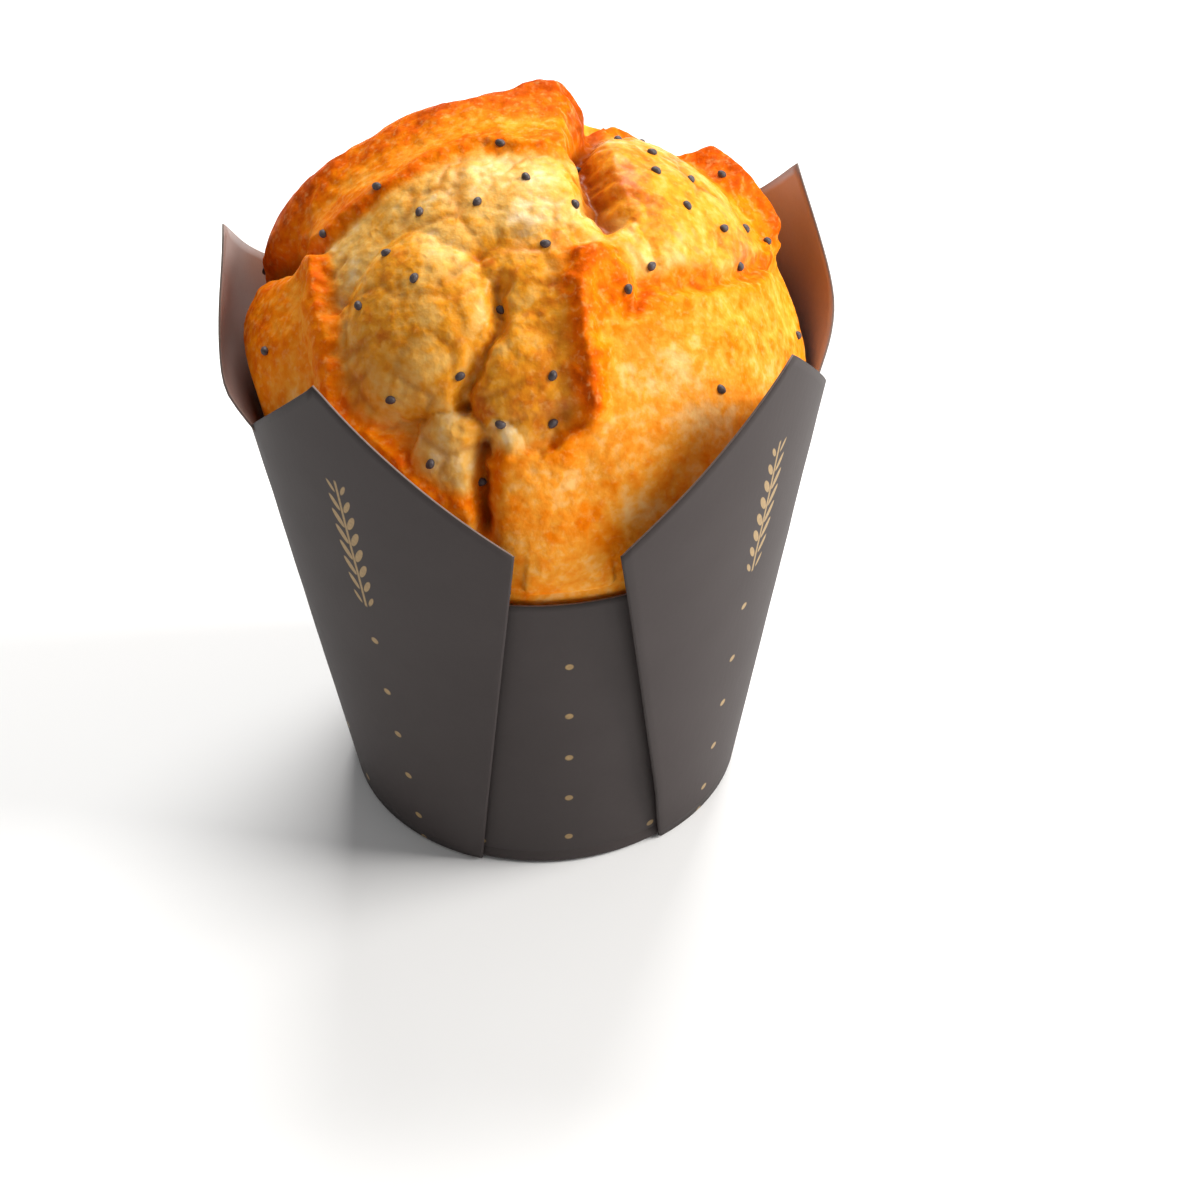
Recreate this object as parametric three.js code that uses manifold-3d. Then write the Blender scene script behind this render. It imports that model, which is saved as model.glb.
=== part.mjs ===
// A poppy seed muffin in its tulip case, in millimetres, +Z up.
// The origin is the middle of the case's underside, and -Y faces the viewer.
// Azimuths are in degrees: 0 looks towards -Y, 90 towards +X.

import * as THREE from "three";
import { mergeVertices } from "three/addons/utils/BufferGeometryUtils.js";
import Module from "manifold-3d";

// Paper case: one square sheet, pressed down round a disc and folded into a cup.
// The sheet's middle lies a little in front of the disc's and to its left.
const BASE_RADIUS = 25;
const WALL_LEAN = 9.4;
const SHEET_HALF_SIDE = 73.8;
const SHEET_FORWARD = 1.1;
const SHEET_LEFT = 0.6;
const PAPER_THICKNESS = 0.8;
const FOLD_STEP = 0.5;
const FOLD_STEP_AT_BASE = 0.15;
const FOLD_STEP_RISE = 8;
const FOLD_LAP = 2.2;
const NOTCH_SLANT = 61;
const BOTTOM_ROUNDING = 0.8;
const WALL_ROWS = 9;
const COLUMN_PITCH = 8;
const TOP_PASSES = 20;

// The folded edges spring out from the wall, a share of it near the foot and the
// rest above. The back petals flare out at the seams, and their tips curl in.
// Springs and flares are greatest at one azimuth and die away round the wall.
const SPRING_REACH = 9;
const SPRING_AT_FOOT = 0.35;
const FOOT_SLANTS = [1, 14];
const SPRING_SLANTS = [22, 60];
const FLARE_REACH = 16;
const FLARE_SLANTS = [58.5, 67];
const TIP_CURL = 2;
const CURL_SLANTS = [66, 80];

// The parts of the sheet: where each one's middle lies round the wall, and the
// direction of that middle on the flat sheet, 0 towards the front.
const FRONT_PANEL = { home: 7.2, onSheet: 0 };
const BACK_PANEL = { home: 190, onSheet: 180 };
const FRONT_RIGHT_PETAL = { home: 52, onSheet: 45, spring: { at: 16, height: 1.8 } };
const BACK_RIGHT_PETAL = {
  home: 118,
  onSheet: 135,
  spring: { at: 152, height: 1.2 },
  flare: { at: 86, height: 2.8 },
  curl: TIP_CURL,
};
const BACK_LEFT_PETAL = {
  home: 262,
  onSheet: 225,
  spring: { at: 228, height: 1.2 },
  flare: { at: 286, height: 2.6 },
  curl: TIP_CURL,
};
const FRONT_LEFT_PETAL = { home: 322, onSheet: -45, spring: { at: 356.5, height: 1 } };

// Each line runs up the case. Its azimuth goes from base to notch, and the wall
// lies at the level before it on one side and at the level after it on the other,
// where the part named here begins.
const OUTSIDE = 0;
const INSIDE = 1;
const CASE_LINES = [
  { base: -19.3, notch: -3.5, before: OUTSIDE, after: INSIDE, part: FRONT_PANEL },
  { base: 36.7, notch: 16, before: INSIDE, after: OUTSIDE, part: FRONT_RIGHT_PETAL },
  { base: 50.2, notch: 50.2, before: OUTSIDE, after: OUTSIDE, part: FRONT_RIGHT_PETAL },
  { base: 104, notch: 86, before: OUTSIDE, after: INSIDE, part: BACK_RIGHT_PETAL },
  { base: 117.5, notch: 117.5, before: INSIDE, after: INSIDE, part: BACK_RIGHT_PETAL },
  { base: 161.5, notch: 152, before: OUTSIDE, after: INSIDE, part: BACK_PANEL },
  { base: 218.5, notch: 228, before: INSIDE, after: OUTSIDE, part: BACK_LEFT_PETAL },
  { base: 263.8, notch: 263.8, before: INSIDE, after: INSIDE, part: BACK_LEFT_PETAL },
  { base: 267, notch: 286, before: INSIDE, after: OUTSIDE, part: FRONT_LEFT_PETAL },
  { base: 322.5, notch: 322.5, before: OUTSIDE, after: OUTSIDE, part: FRONT_LEFT_PETAL },
];
const FRONT_RIGHT_FOLD = CASE_LINES[1];

// Muffin: a body that fills the case and a cracked dome round its own centre.
const CLEARANCE = 0.6;
const DOME_CENTRE = new THREE.Vector3(-0.8, 1.5, 53);
const DOME_SIDE_RADIUS = 34.3;
const DOME_TOP_RADIUS = 37;
const DOME_COLUMNS = 92;
const DOME_ROWS = 36;
const DOME_LOWEST_POLAR = 94;
const BODY_HEIGHTS = [50.2, 42, 31, 20, 10, 3.2];
const BODY_FOOT_ROUNDING = 1.6;
const NOTCH_BULGE = 34.7;
const BULGE_BOTTOM = 50.3;
const BULGE_FADE = 2.4;
const BULGE_EDGE = 2.6;

// Places on the dome are [across, back] in degrees of arc from its top.
// The crust is torn open along this loop, and the crumb has risen inside it.
const CRUST_TEAR = [
  [-46, -6], [-41, -14], [-40, -31], [-40, -46], [-31, -58], [-20, -69], [-10, -73],
  [-7, -66], [6, -61], [13, -54], [10, -38], [8, -28], [14, -24], [21, -31],
  [28, -26], [40, -18], [53, -5], [54, 9], [43, 17], [33, 26], [20, 31],
  [12, 24], [11, 12], [7, 1], [-6, 1], [-18, -2], [-33, -5],
];
const STEPS_PER_PLACE = 8;
const TEAR_DROP = 2.3;
const TEAR_DROP_WIDTH = 2.2;
const EDGE_CURL = 0.9;
const EDGE_CURL_WIDTH = 5;

// Lumps of crumb that have risen through the tear.
const LUMP_ROUNDNESS = 0.5;
const CRUMB_LUMPS = [
  { name: "left lobe", at: [-24, -35], size: [21, 20], turn: 25, height: 3.9 },
  { name: "upper crumb", at: [-14, -11], size: [23, 14], turn: 10, height: 2.7 },
  { name: "upper left crumb", at: [-32, -15], size: [15, 10], turn: 15, height: 2.2 },
  { name: "top crumb", at: [3, -11], size: [14, 15], turn: 0, height: 3 },
  { name: "middle crumb", at: [4, -28], size: [14, 15], turn: 0, height: 2.7 },
  { name: "centre chunk", at: [1, -49], size: [16, 14], turn: -20, height: 3.1 },
  { name: "low left lump", at: [-18, -60], size: [9, 8], turn: 30, height: 2.7 },
  { name: "low middle lump", at: [-4, -60], size: [8, 7], turn: 0, height: 2.5 },
  { name: "low front lump", at: [-16, -68], size: [8, 9], turn: 20, height: 2.7 },
  { name: "back right lobe", at: [34, -2], size: [27, 25], turn: 20, height: 3 },
  { name: "small right crumb", at: [17, -20], size: [12, 9], turn: 0, height: 2.6 },
  { name: "ridge foot", at: [10, -41], size: [13, 22], turn: -8, height: 2.8 },
];

// Swellings of the crust outside the tear, which fade out more softly.
const SWELLING_SOFTNESS = 1.4;
const CRUST_SWELLINGS = [
  { name: "left shoulder", at: [-70, -10], size: [24, 26], turn: 0, height: 2 },
  { name: "right shoulder", at: [44, -52], size: [34, 30], turn: 40, height: 1 },
  { name: "front shoulder", at: [6, -84], size: [22, 18], turn: 0, height: 0.6 },
  { name: "lip tip", at: [5, 18], size: [8, 5], turn: 10, height: 1.1 },
  { name: "back dip", at: [25, 28], size: [24, 20], turn: 0, height: -1.5 },
  { name: "left back shoulder", at: [-48, 18], size: [20, 14], turn: 0, height: 1 },
];

// Standing rims and clefts follow lines on the dome.
const RIDGES = [
  {
    name: "back lip",
    along: [[-60, 9], [-44, 13], [-26, 15], [-12, 16], [1, 18], [7, 19]],
    width: 8,
    height: 2.4,
  },
  { name: "right flake", along: [[37, 26], [43, 22], [49, 19], [57, 15]], width: 2.8, height: 3.2 },
  { name: "centre ridge", along: [[15, -52], [12, -40], [10, -31], [12, -25]], width: 4, height: 1.4 },
  { name: "left ridge", along: [[-42, -14], [-43, -32], [-42, -46]], width: 4, height: 1 },
];
const CLEFTS = [
  { name: "middle cleft", along: [[-4, -30], [-5, -38], [-9, -45], [-13, -54]], width: 1.6, depth: 1.9 },
  { name: "low crease", along: [[-10, -77], [-8.5, -70], [-8.5, -63]], width: 2.9, depth: 3.4 },
  { name: "back gap", along: [[13, 34], [12, 14], [13, -6], [16, -15]], width: 3, depth: 3.4 },
  { name: "left gap", along: [[-80, 14], [-62, 6], [-49, -3]], width: 4, depth: 3 },
  { name: "right crease", along: [[20, -34], [28, -27], [40, -19], [64, 10]], width: 2.2, depth: 1.6 },
];

// Poppy seeds baked into the surface.
const SEED_RADIUS = 0.62;
const SEED_SINK = 0.12;
const SEEDS_IN_CRUMB = 36;
const SEEDS_IN_CRUST = 14;
const SEED_REACH = 74;
const SEED_TRIES = 14;
const RANDOM_START = 20;
const RANDOM_FACTOR = 1664525;
const RANDOM_STEP = 1013904223;
const RANDOM_RANGE = 2 ** 32;

const CASE_COLOUR = 0x4a4242;
const CRUST_COLOUR = 0xdd8f3c;

const radians = THREE.MathUtils.degToRad;
const degrees = THREE.MathUtils.radToDeg;
const mix = THREE.MathUtils.lerp;
const ease = THREE.MathUtils.smoothstep;

// A repeatable draw between 0 and 1.
function makeRandom(start) {
  let state = start;
  return () => {
    state = (state * RANDOM_FACTOR + RANDOM_STEP) % RANDOM_RANGE;
    return state / RANDOM_RANGE;
  };
}

function around(radius, azimuth, z) {
  const angle = radians(azimuth);
  return new THREE.Vector3(radius * Math.sin(angle), -radius * Math.cos(angle), z);
}

function turnBetween(a, b) {
  return ((a - b + 540) % 360) - 180;
}

function bell(distance, width) {
  return Math.exp(-((distance / width) ** 2));
}

function wallRadius(slant) {
  return BASE_RADIUS + slant * Math.sin(radians(WALL_LEAN));
}

function wallRadiusAtHeight(z) {
  return BASE_RADIUS + z * Math.tan(radians(WALL_LEAN));
}

// The wall is a cone. This is how far down the slope its tip lies below the base.
const APEX = BASE_RADIUS / Math.sin(radians(WALL_LEAN));

// A crease is straight on the flat sheet, so it turns faster low on the cone.
function lineAzimuth(line, slant) {
  const run = (slant / NOTCH_SLANT) * (APEX + NOTCH_SLANT) / (APEX + slant);
  return mix(line.base, line.notch, run);
}

// The sides of the flat sheet: each one's direction and its distance from the base's centre.
const SHEET_SIDES = [
  { direction: 0, reach: SHEET_HALF_SIDE + SHEET_FORWARD },
  { direction: 90, reach: SHEET_HALF_SIDE - SHEET_LEFT },
  { direction: 180, reach: SHEET_HALF_SIDE - SHEET_FORWARD },
  { direction: 270, reach: SHEET_HALF_SIDE + SHEET_LEFT },
];
const LEAST_FACING = 0.3;

// The slant at which the sheet ends, a turn away from the middle of its part.
function sheetEnd(turn, part) {
  const unrolled = radians(turn) * Math.sin(radians(WALL_LEAN));
  const ends = SHEET_SIDES.map((side) => {
    const away = radians(side.direction - part.onSheet);
    const facing = Math.cos(unrolled - away);
    const end = (side.reach + (APEX - BASE_RADIUS) * Math.cos(away)) / facing - APEX;
    return facing > LEAST_FACING ? end : Infinity;
  });
  return Math.min(...ends);
}

function columnTop(azimuthAt, part) {
  let slant = NOTCH_SLANT;
  for (let pass = 0; pass < TOP_PASSES; pass += 1) {
    slant = sheetEnd(turnBetween(azimuthAt(slant), part.home), part);
  }
  return slant;
}

// How much is left of a spring or flare at an azimuth away from where it is greatest.
function faded(bend, azimuth, reach) {
  if (!bend) {
    return 0;
  }
  const distance = radians(Math.abs(turnBetween(azimuth, bend.at))) * wallRadius(NOTCH_SLANT);
  return bend.height * Math.exp(-distance / reach);
}

// How far the sheet stands out from the cone, less where its tip curls in.
function standOff(part, azimuthAt, slant) {
  const azimuth = azimuthAt(NOTCH_SLANT);
  const sprung = mix(ease(slant, ...SPRING_SLANTS), ease(slant, ...FOOT_SLANTS), SPRING_AT_FOOT);
  return (
    faded(part.spring, azimuth, SPRING_REACH) * sprung
    + faded(part.flare, azimuth, FLARE_REACH) * ease(slant, ...FLARE_SLANTS)
    - (part.curl ?? 0) * ease(slant, ...CURL_SLANTS)
  );
}

function stepDepth(level, slant) {
  const grown = Math.min(1, slant / FOLD_STEP_RISE);
  return level * mix(FOLD_STEP_AT_BASE, FOLD_STEP, grown);
}

// One column is a run of points up the outside and up the inside of the wall.
function caseColumn(azimuthAt, level, part, lap) {
  const top = columnTop(azimuthAt, part);
  const footRadius = BASE_RADIUS - BOTTOM_ROUNDING - stepDepth(level, 0);
  const outer = [around(footRadius, azimuthAt(0), 0)];
  const inner = [around(footRadius - PAPER_THICKNESS, azimuthAt(0) + lap, PAPER_THICKNESS)];
  const outerRadius = (slant) => (
    wallRadius(slant) - stepDepth(level, slant) + standOff(part, azimuthAt, slant)
  );
  const height = (slant) => slant * Math.cos(radians(WALL_LEAN));
  for (let row = 0; row < WALL_ROWS; row += 1) {
    const slant = mix(BOTTOM_ROUNDING, top, row / (WALL_ROWS - 1));
    const innerSlant = Math.max(slant, 2 * BOTTOM_ROUNDING);
    const innerRadius = outerRadius(innerSlant) - PAPER_THICKNESS;
    outer.push(around(outerRadius(slant), azimuthAt(slant), height(slant)));
    inner.push(around(innerRadius, azimuthAt(innerSlant) + lap, height(innerSlant)));
  }
  return { outer, inner };
}

// On a fold the inner face steps a little later than the outer one, under the flap.
function lapAtLine(line) {
  if (line.before === line.after) {
    return 0;
  }
  return line.before === OUTSIDE ? -FOLD_LAP : FOLD_LAP;
}

function caseColumns() {
  const columns = [];
  CASE_LINES.forEach((line, index) => {
    const last = index === CASE_LINES.length - 1;
    const next = last
      ? { ...CASE_LINES[0], base: CASE_LINES[0].base + 360, notch: CASE_LINES[0].notch + 360 }
      : CASE_LINES[index + 1];
    const width = Math.max(next.notch - line.notch, next.base - line.base);
    const steps = Math.max(2, Math.round(width / COLUMN_PITCH));
    const folded = next.before !== next.after;
    const lastStep = folded ? steps : steps - 1;
    for (let step = 0; step <= lastStep; step += 1) {
      const share = step / steps;
      const azimuthAt = (slant) => mix(lineAzimuth(line, slant), lineAzimuth(next, slant), share);
      const level = mix(line.after, next.before, share);
      const lap = (step === 0 ? lapAtLine(line) : 0) + (step === steps ? lapAtLine(next) : 0);
      columns.push(caseColumn(azimuthAt, level, line.part, lap));
    }
  });
  return columns;
}

function geometryFrom(points, triangles) {
  const geometry = new THREE.BufferGeometry().setFromPoints(points);
  geometry.setIndex(triangles.flat());
  return geometry;
}

function pushQuad(triangles, a, b, c, d) {
  triangles.push([a, b, c], [a, c, d]);
}

function makeCase() {
  const columns = caseColumns();
  const rows = WALL_ROWS + 1;
  const points = columns.flatMap((column) => [...column.outer, ...column.inner]);
  const outerAt = (column, row) => (column % columns.length) * rows * 2 + row;
  const innerAt = (column, row) => outerAt(column, row) + rows;
  const under = points.push(new THREE.Vector3(0, 0, 0)) - 1;
  const floor = points.push(new THREE.Vector3(0, 0, PAPER_THICKNESS)) - 1;
  const triangles = [];
  columns.forEach((_, column) => {
    const next = column + 1;
    for (let row = 0; row < WALL_ROWS; row += 1) {
      pushQuad(
        triangles,
        outerAt(column, row), outerAt(next, row), outerAt(next, row + 1), outerAt(column, row + 1),
      );
      pushQuad(
        triangles,
        innerAt(next, row), innerAt(column, row), innerAt(column, row + 1), innerAt(next, row + 1),
      );
    }
    pushQuad(
      triangles,
      outerAt(column, WALL_ROWS), outerAt(next, WALL_ROWS),
      innerAt(next, WALL_ROWS), innerAt(column, WALL_ROWS),
    );
    triangles.push([under, outerAt(next, 0), outerAt(column, 0)]);
    triangles.push([floor, innerAt(column, 0), innerAt(next, 0)]);
  });
  return geometryFrom(points, triangles);
}

// A smooth closed or open run through a few places on the dome.
function smoothRun(places, closed) {
  const curve = new THREE.CatmullRomCurve3(
    places.map(([across, back]) => new THREE.Vector3(across, back, 0)),
    closed,
    "centripetal",
  );
  return curve.getPoints(places.length * STEPS_PER_PLACE);
}

function distanceToRun(run, across, back) {
  let best = Infinity;
  for (let index = 0; index < run.length - 1; index += 1) {
    const from = run[index];
    const to = run[index + 1];
    const alongX = to.x - from.x;
    const alongY = to.y - from.y;
    const length = alongX * alongX + alongY * alongY || 1;
    const share = ((across - from.x) * alongX + (back - from.y) * alongY) / length;
    const held = THREE.MathUtils.clamp(share, 0, 1);
    const gap = Math.hypot(across - from.x - alongX * held, back - from.y - alongY * held);
    best = Math.min(best, gap);
  }
  return best;
}

function isInsideRun(run, across, back) {
  let inside = false;
  for (let index = 0; index < run.length - 1; index += 1) {
    const from = run[index];
    const to = run[index + 1];
    const crosses = (from.y > back) !== (to.y > back);
    if (crosses && across < from.x + (to.x - from.x) * (back - from.y) / (to.y - from.y)) {
      inside = !inside;
    }
  }
  return inside;
}

// 1 in the middle of a lump, falling to 0 at its outline.
function fullness(lump, across, back) {
  const turn = radians(lump.turn);
  const x = across - lump.at[0];
  const y = back - lump.at[1];
  const u = (x * Math.cos(turn) + y * Math.sin(turn)) / lump.size[0];
  const v = (y * Math.cos(turn) - x * Math.sin(turn)) / lump.size[1];
  return Math.max(0, 1 - u * u - v * v);
}

function withRun(line) {
  return { ...line, run: smoothRun(line.along, false) };
}

const tearRun = smoothRun(CRUST_TEAR, true);
const ridges = RIDGES.map(withRun);
const clefts = CLEFTS.map(withRun);

// How far the dome's surface lies from its centre at a place on it.
function domeRadius(across, back) {
  const polar = radians(Math.hypot(across, back));
  const plain = 1 / Math.hypot(
    Math.sin(polar) / DOME_SIDE_RADIUS,
    Math.cos(polar) / DOME_TOP_RADIUS,
  );
  const distance = distanceToRun(tearRun, across, back);
  const torn = isInsideRun(tearRun, across, back);
  let radius = plain;
  CRUST_SWELLINGS.forEach((lump) => {
    radius += lump.height * fullness(lump, across, back) ** SWELLING_SOFTNESS;
  });
  ridges.forEach((ridge) => {
    radius += ridge.height * bell(distanceToRun(ridge.run, across, back), ridge.width);
  });
  if (torn) {
    const crust = radius + EDGE_CURL;
    const lumps = CRUMB_LUMPS.map((lump) => (
      lump.height * fullness(lump, across, back) ** LUMP_ROUNDNESS
    ));
    const crumb = plain - TEAR_DROP + Math.max(0, ...lumps);
    const kept = Math.exp(-distance / TEAR_DROP_WIDTH);
    radius = mix(crumb, Math.max(crust, crumb), kept);
  } else {
    radius += EDGE_CURL * bell(distance, EDGE_CURL_WIDTH);
  }
  clefts.forEach((cleft) => {
    radius -= cleft.depth * bell(distanceToRun(cleft.run, across, back), cleft.width);
  });
  return radius;
}

// The case holds the muffin in, apart from the notch between the two front flaps.
function heldRadius(z, azimuth) {
  const inner = wallRadiusAtHeight(z) - PAPER_THICKNESS - CLEARANCE - FOLD_STEP;
  if (z < BULGE_BOTTOM) {
    return inner;
  }
  const slant = z / Math.cos(radians(WALL_LEAN));
  const halfNotch = lineAzimuth(FRONT_RIGHT_FOLD, slant) - FRONT_PANEL.home;
  const fromEdge = halfNotch - BULGE_EDGE - Math.abs(turnBetween(azimuth, FRONT_PANEL.home));
  return mix(inner, Math.max(inner, NOTCH_BULGE), ease(fromEdge, 0, BULGE_FADE));
}

function domePoint(azimuth, polar) {
  const across = polar * Math.sin(radians(azimuth));
  const back = -polar * Math.cos(radians(azimuth));
  const radius = domeRadius(across, back);
  const offset = around(radius * Math.sin(radians(polar)), azimuth, radius * Math.cos(radians(polar)));
  const point = DOME_CENTRE.clone().add(offset);
  const reach = Math.hypot(point.x, point.y);
  const held = heldRadius(point.z, degrees(Math.atan2(point.x, -point.y)));
  if (reach > held) {
    point.x *= held / reach;
    point.y *= held / reach;
  }
  return point;
}

function bodyPoint(azimuth, z, draw) {
  return around(heldRadius(z, azimuth) - draw, azimuth, z);
}

function makeBareMuffin() {
  const points = [domePoint(0, 0)];
  const rings = [];
  for (let row = 1; row <= DOME_ROWS; row += 1) {
    rings.push((azimuth) => domePoint(azimuth, DOME_LOWEST_POLAR * row / DOME_ROWS));
  }
  BODY_HEIGHTS.forEach((z) => {
    rings.push((azimuth) => bodyPoint(azimuth, z, 0));
  });
  const footHeight = PAPER_THICKNESS + CLEARANCE;
  rings.push((azimuth) => bodyPoint(azimuth, footHeight, BODY_FOOT_ROUNDING));
  rings.forEach((ring) => {
    for (let column = 0; column < DOME_COLUMNS; column += 1) {
      points.push(ring(360 * column / DOME_COLUMNS));
    }
  });
  const foot = points.push(new THREE.Vector3(0, 0, footHeight)) - 1;
  const at = (ring, column) => 1 + ring * DOME_COLUMNS + (column % DOME_COLUMNS);
  const triangles = [];
  for (let column = 0; column < DOME_COLUMNS; column += 1) {
    const next = column + 1;
    triangles.push([0, at(0, column), at(0, next)]);
    for (let ring = 0; ring < rings.length - 1; ring += 1) {
      pushQuad(triangles, at(ring, column), at(ring + 1, column), at(ring + 1, next), at(ring, next));
    }
    triangles.push([foot, at(rings.length - 1, next), at(rings.length - 1, column)]);
  }
  return geometryFrom(points, triangles);
}

// Of a few random places, a seed takes the one that is furthest from the others.
function seedPlaces() {
  const random = makeRandom(RANDOM_START);
  const places = [];
  const scatter = (count, wanted) => {
    let left = count;
    while (left > 0) {
      let best = null;
      for (let trial = 0; trial < SEED_TRIES; trial += 1) {
        const polar = SEED_REACH * Math.sqrt(random());
        const azimuth = 360 * random();
        const across = polar * Math.sin(radians(azimuth));
        const back = -polar * Math.cos(radians(azimuth));
        const room = Math.min(Infinity, ...places.map((place) => Math.hypot(
          place.across - across,
          place.back - back,
        )));
        if (isInsideRun(tearRun, across, back) === wanted && (!best || room > best.room)) {
          best = { across, back, azimuth, polar, room };
        }
      }
      if (best) {
        places.push(best);
        left -= 1;
      }
    }
  };
  scatter(SEEDS_IN_CRUMB, true);
  scatter(SEEDS_IN_CRUST, false);
  return places;
}

const wasm = await Module();
wasm.setup();

function toSolid(geometry) {
  const bare = geometry.clone();
  bare.deleteAttribute("normal");
  bare.deleteAttribute("uv");
  const merged = mergeVertices(bare);
  return new wasm.Manifold(new wasm.Mesh({
    numProp: 3,
    vertProperties: new Float32Array(merged.attributes.position.array),
    triVerts: new Uint32Array(merged.index.array),
  }));
}

function toGeometry(solid) {
  const mesh = solid.getMesh();
  const geometry = new THREE.BufferGeometry();
  geometry.setAttribute("position", new THREE.BufferAttribute(mesh.vertProperties, 3));
  geometry.setIndex(new THREE.BufferAttribute(mesh.triVerts, 1));
  return geometry;
}

function makeMuffin() {
  let solid = toSolid(makeBareMuffin());
  seedPlaces().forEach((place) => {
    const seed = new THREE.IcosahedronGeometry(SEED_RADIUS, 0);
    seed.rotateX(radians(place.azimuth));
    seed.rotateY(radians(place.polar));
    const surface = domePoint(place.azimuth, place.polar);
    const inward = DOME_CENTRE.clone().sub(surface).setLength(SEED_SINK);
    const middle = surface.add(inward);
    seed.translate(middle.x, middle.y, middle.z);
    solid = solid.add(toSolid(seed));
  });
  return toGeometry(solid);
}

function makeMesh(name, geometry, colour, roughness) {
  const material = new THREE.MeshStandardMaterial({ color: colour, roughness, metalness: 0 });
  const mesh = new THREE.Mesh(geometry, material);
  mesh.name = name;
  return mesh;
}

const muffinInCase = new THREE.Group();
muffinInCase.add(makeMesh("paper_case", makeCase(), CASE_COLOUR, 0.75));
muffinInCase.add(makeMesh("muffin", makeMuffin(), CRUST_COLOUR, 0.6));

export default muffinInCase;
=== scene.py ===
"""A poppy seed muffin in its folded tulip case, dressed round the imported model.

Sizes are in millimetres and turns in degrees until a mesh is placed. Azimuth 0
looks towards -Y, where the viewer stands, and azimuth 90 towards +X.
"""

import logging
import math
from dataclasses import dataclass, field
from enum import Enum
from typing import Callable, ClassVar, Iterator, Optional, Union

import bmesh
import bpy
import numpy as np
from mathutils import Matrix, Vector, noise


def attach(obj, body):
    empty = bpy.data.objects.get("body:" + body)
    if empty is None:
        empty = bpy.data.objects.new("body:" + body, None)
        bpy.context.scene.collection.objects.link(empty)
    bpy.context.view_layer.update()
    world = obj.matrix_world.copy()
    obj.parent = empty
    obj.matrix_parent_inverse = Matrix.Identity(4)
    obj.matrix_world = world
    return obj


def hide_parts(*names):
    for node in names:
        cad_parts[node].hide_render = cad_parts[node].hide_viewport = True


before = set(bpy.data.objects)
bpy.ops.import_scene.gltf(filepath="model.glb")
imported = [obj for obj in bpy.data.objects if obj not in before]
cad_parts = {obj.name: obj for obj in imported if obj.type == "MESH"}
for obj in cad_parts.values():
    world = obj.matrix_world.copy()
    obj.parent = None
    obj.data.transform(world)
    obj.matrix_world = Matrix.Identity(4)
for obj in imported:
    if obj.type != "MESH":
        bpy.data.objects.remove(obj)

LOG = logging.getLogger("muffin")
MM = 0.001
Place = tuple[float, float]
Triple = tuple[float, float, float]
Colour = tuple[float, float, float, float]
Stops = tuple[tuple[float, Colour], ...]
Floats = Union[float, np.ndarray]
Mesh = bmesh.types.BMesh
Socket = bpy.types.NodeSocket
Value = Union[float, Colour, Triple, Socket]


def tone(red: int, green: int, blue: int) -> Colour:
    """Turns a colour as the eye reads it, 0 to 255, into the linear one of a shader.

    Args:
        red: Red part.
        green: Green part.
        blue: Blue part.

    Returns:
        The linear colour with an alpha of 1.
    """
    parts = []
    for part in (red, green, blue):
        share = part / 255
        parts.append(share / 12.92 if share <= 0.04045 else ((share + 0.055) / 1.055) ** 2.4)
    return (parts[0], parts[1], parts[2], 1.0)


def mix(start: Floats, end: Floats, share: Floats) -> Floats:
    """Returns the value that lies at a share of the way from start to end."""
    return start + (end - start) * share


def turn_between(a: Floats, b: Floats) -> Floats:
    """Returns the turn from b to a, between -180 and 180 degrees."""
    return (a - b + 540) % 360 - 180


def ease(low: float, high: float, value: Floats) -> Floats:
    """Returns a smooth step from 0 at low to 1 at high."""
    share = np.clip((value - low) / (high - low), 0, 1)
    return share * share * (3 - 2 * share)


def bell(distance: Floats, width: float) -> Floats:
    """Returns 1 at no distance, falling off like a bell of that width."""
    return np.exp(-((distance / width) ** 2))


def on_dome(azimuth: np.ndarray, polar: np.ndarray) -> tuple[np.ndarray, np.ndarray]:
    """Returns the degrees of arc, towards +X and +Y, of directions from the dome's top."""
    return polar * np.sin(np.radians(azimuth)), -polar * np.cos(np.radians(azimuth))


def object_from(bm: Mesh, name: str) -> bpy.types.Object:
    """Makes an object at the origin from a mesh in millimetres.

    Args:
        bm: The mesh, which is freed.
        name: Name of the object.

    Returns:
        The new object, linked to the scene and smoothly shaded.
    """
    bmesh.ops.scale(bm, vec=(MM, MM, MM), verts=bm.verts)
    mesh = bpy.data.meshes.new(name)
    bm.to_mesh(mesh)
    bm.free()
    mesh.polygons.foreach_set("use_smooth", [True] * len(mesh.polygons))
    piece = bpy.data.objects.new(name, mesh)
    bpy.context.scene.collection.objects.link(piece)
    return piece


class Coat(Enum):
    """Which side of the paper a material is for."""

    OUTSIDE = "outside"
    INSIDE = "inside"
    CUT_EDGE = "cut_edge"


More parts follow.
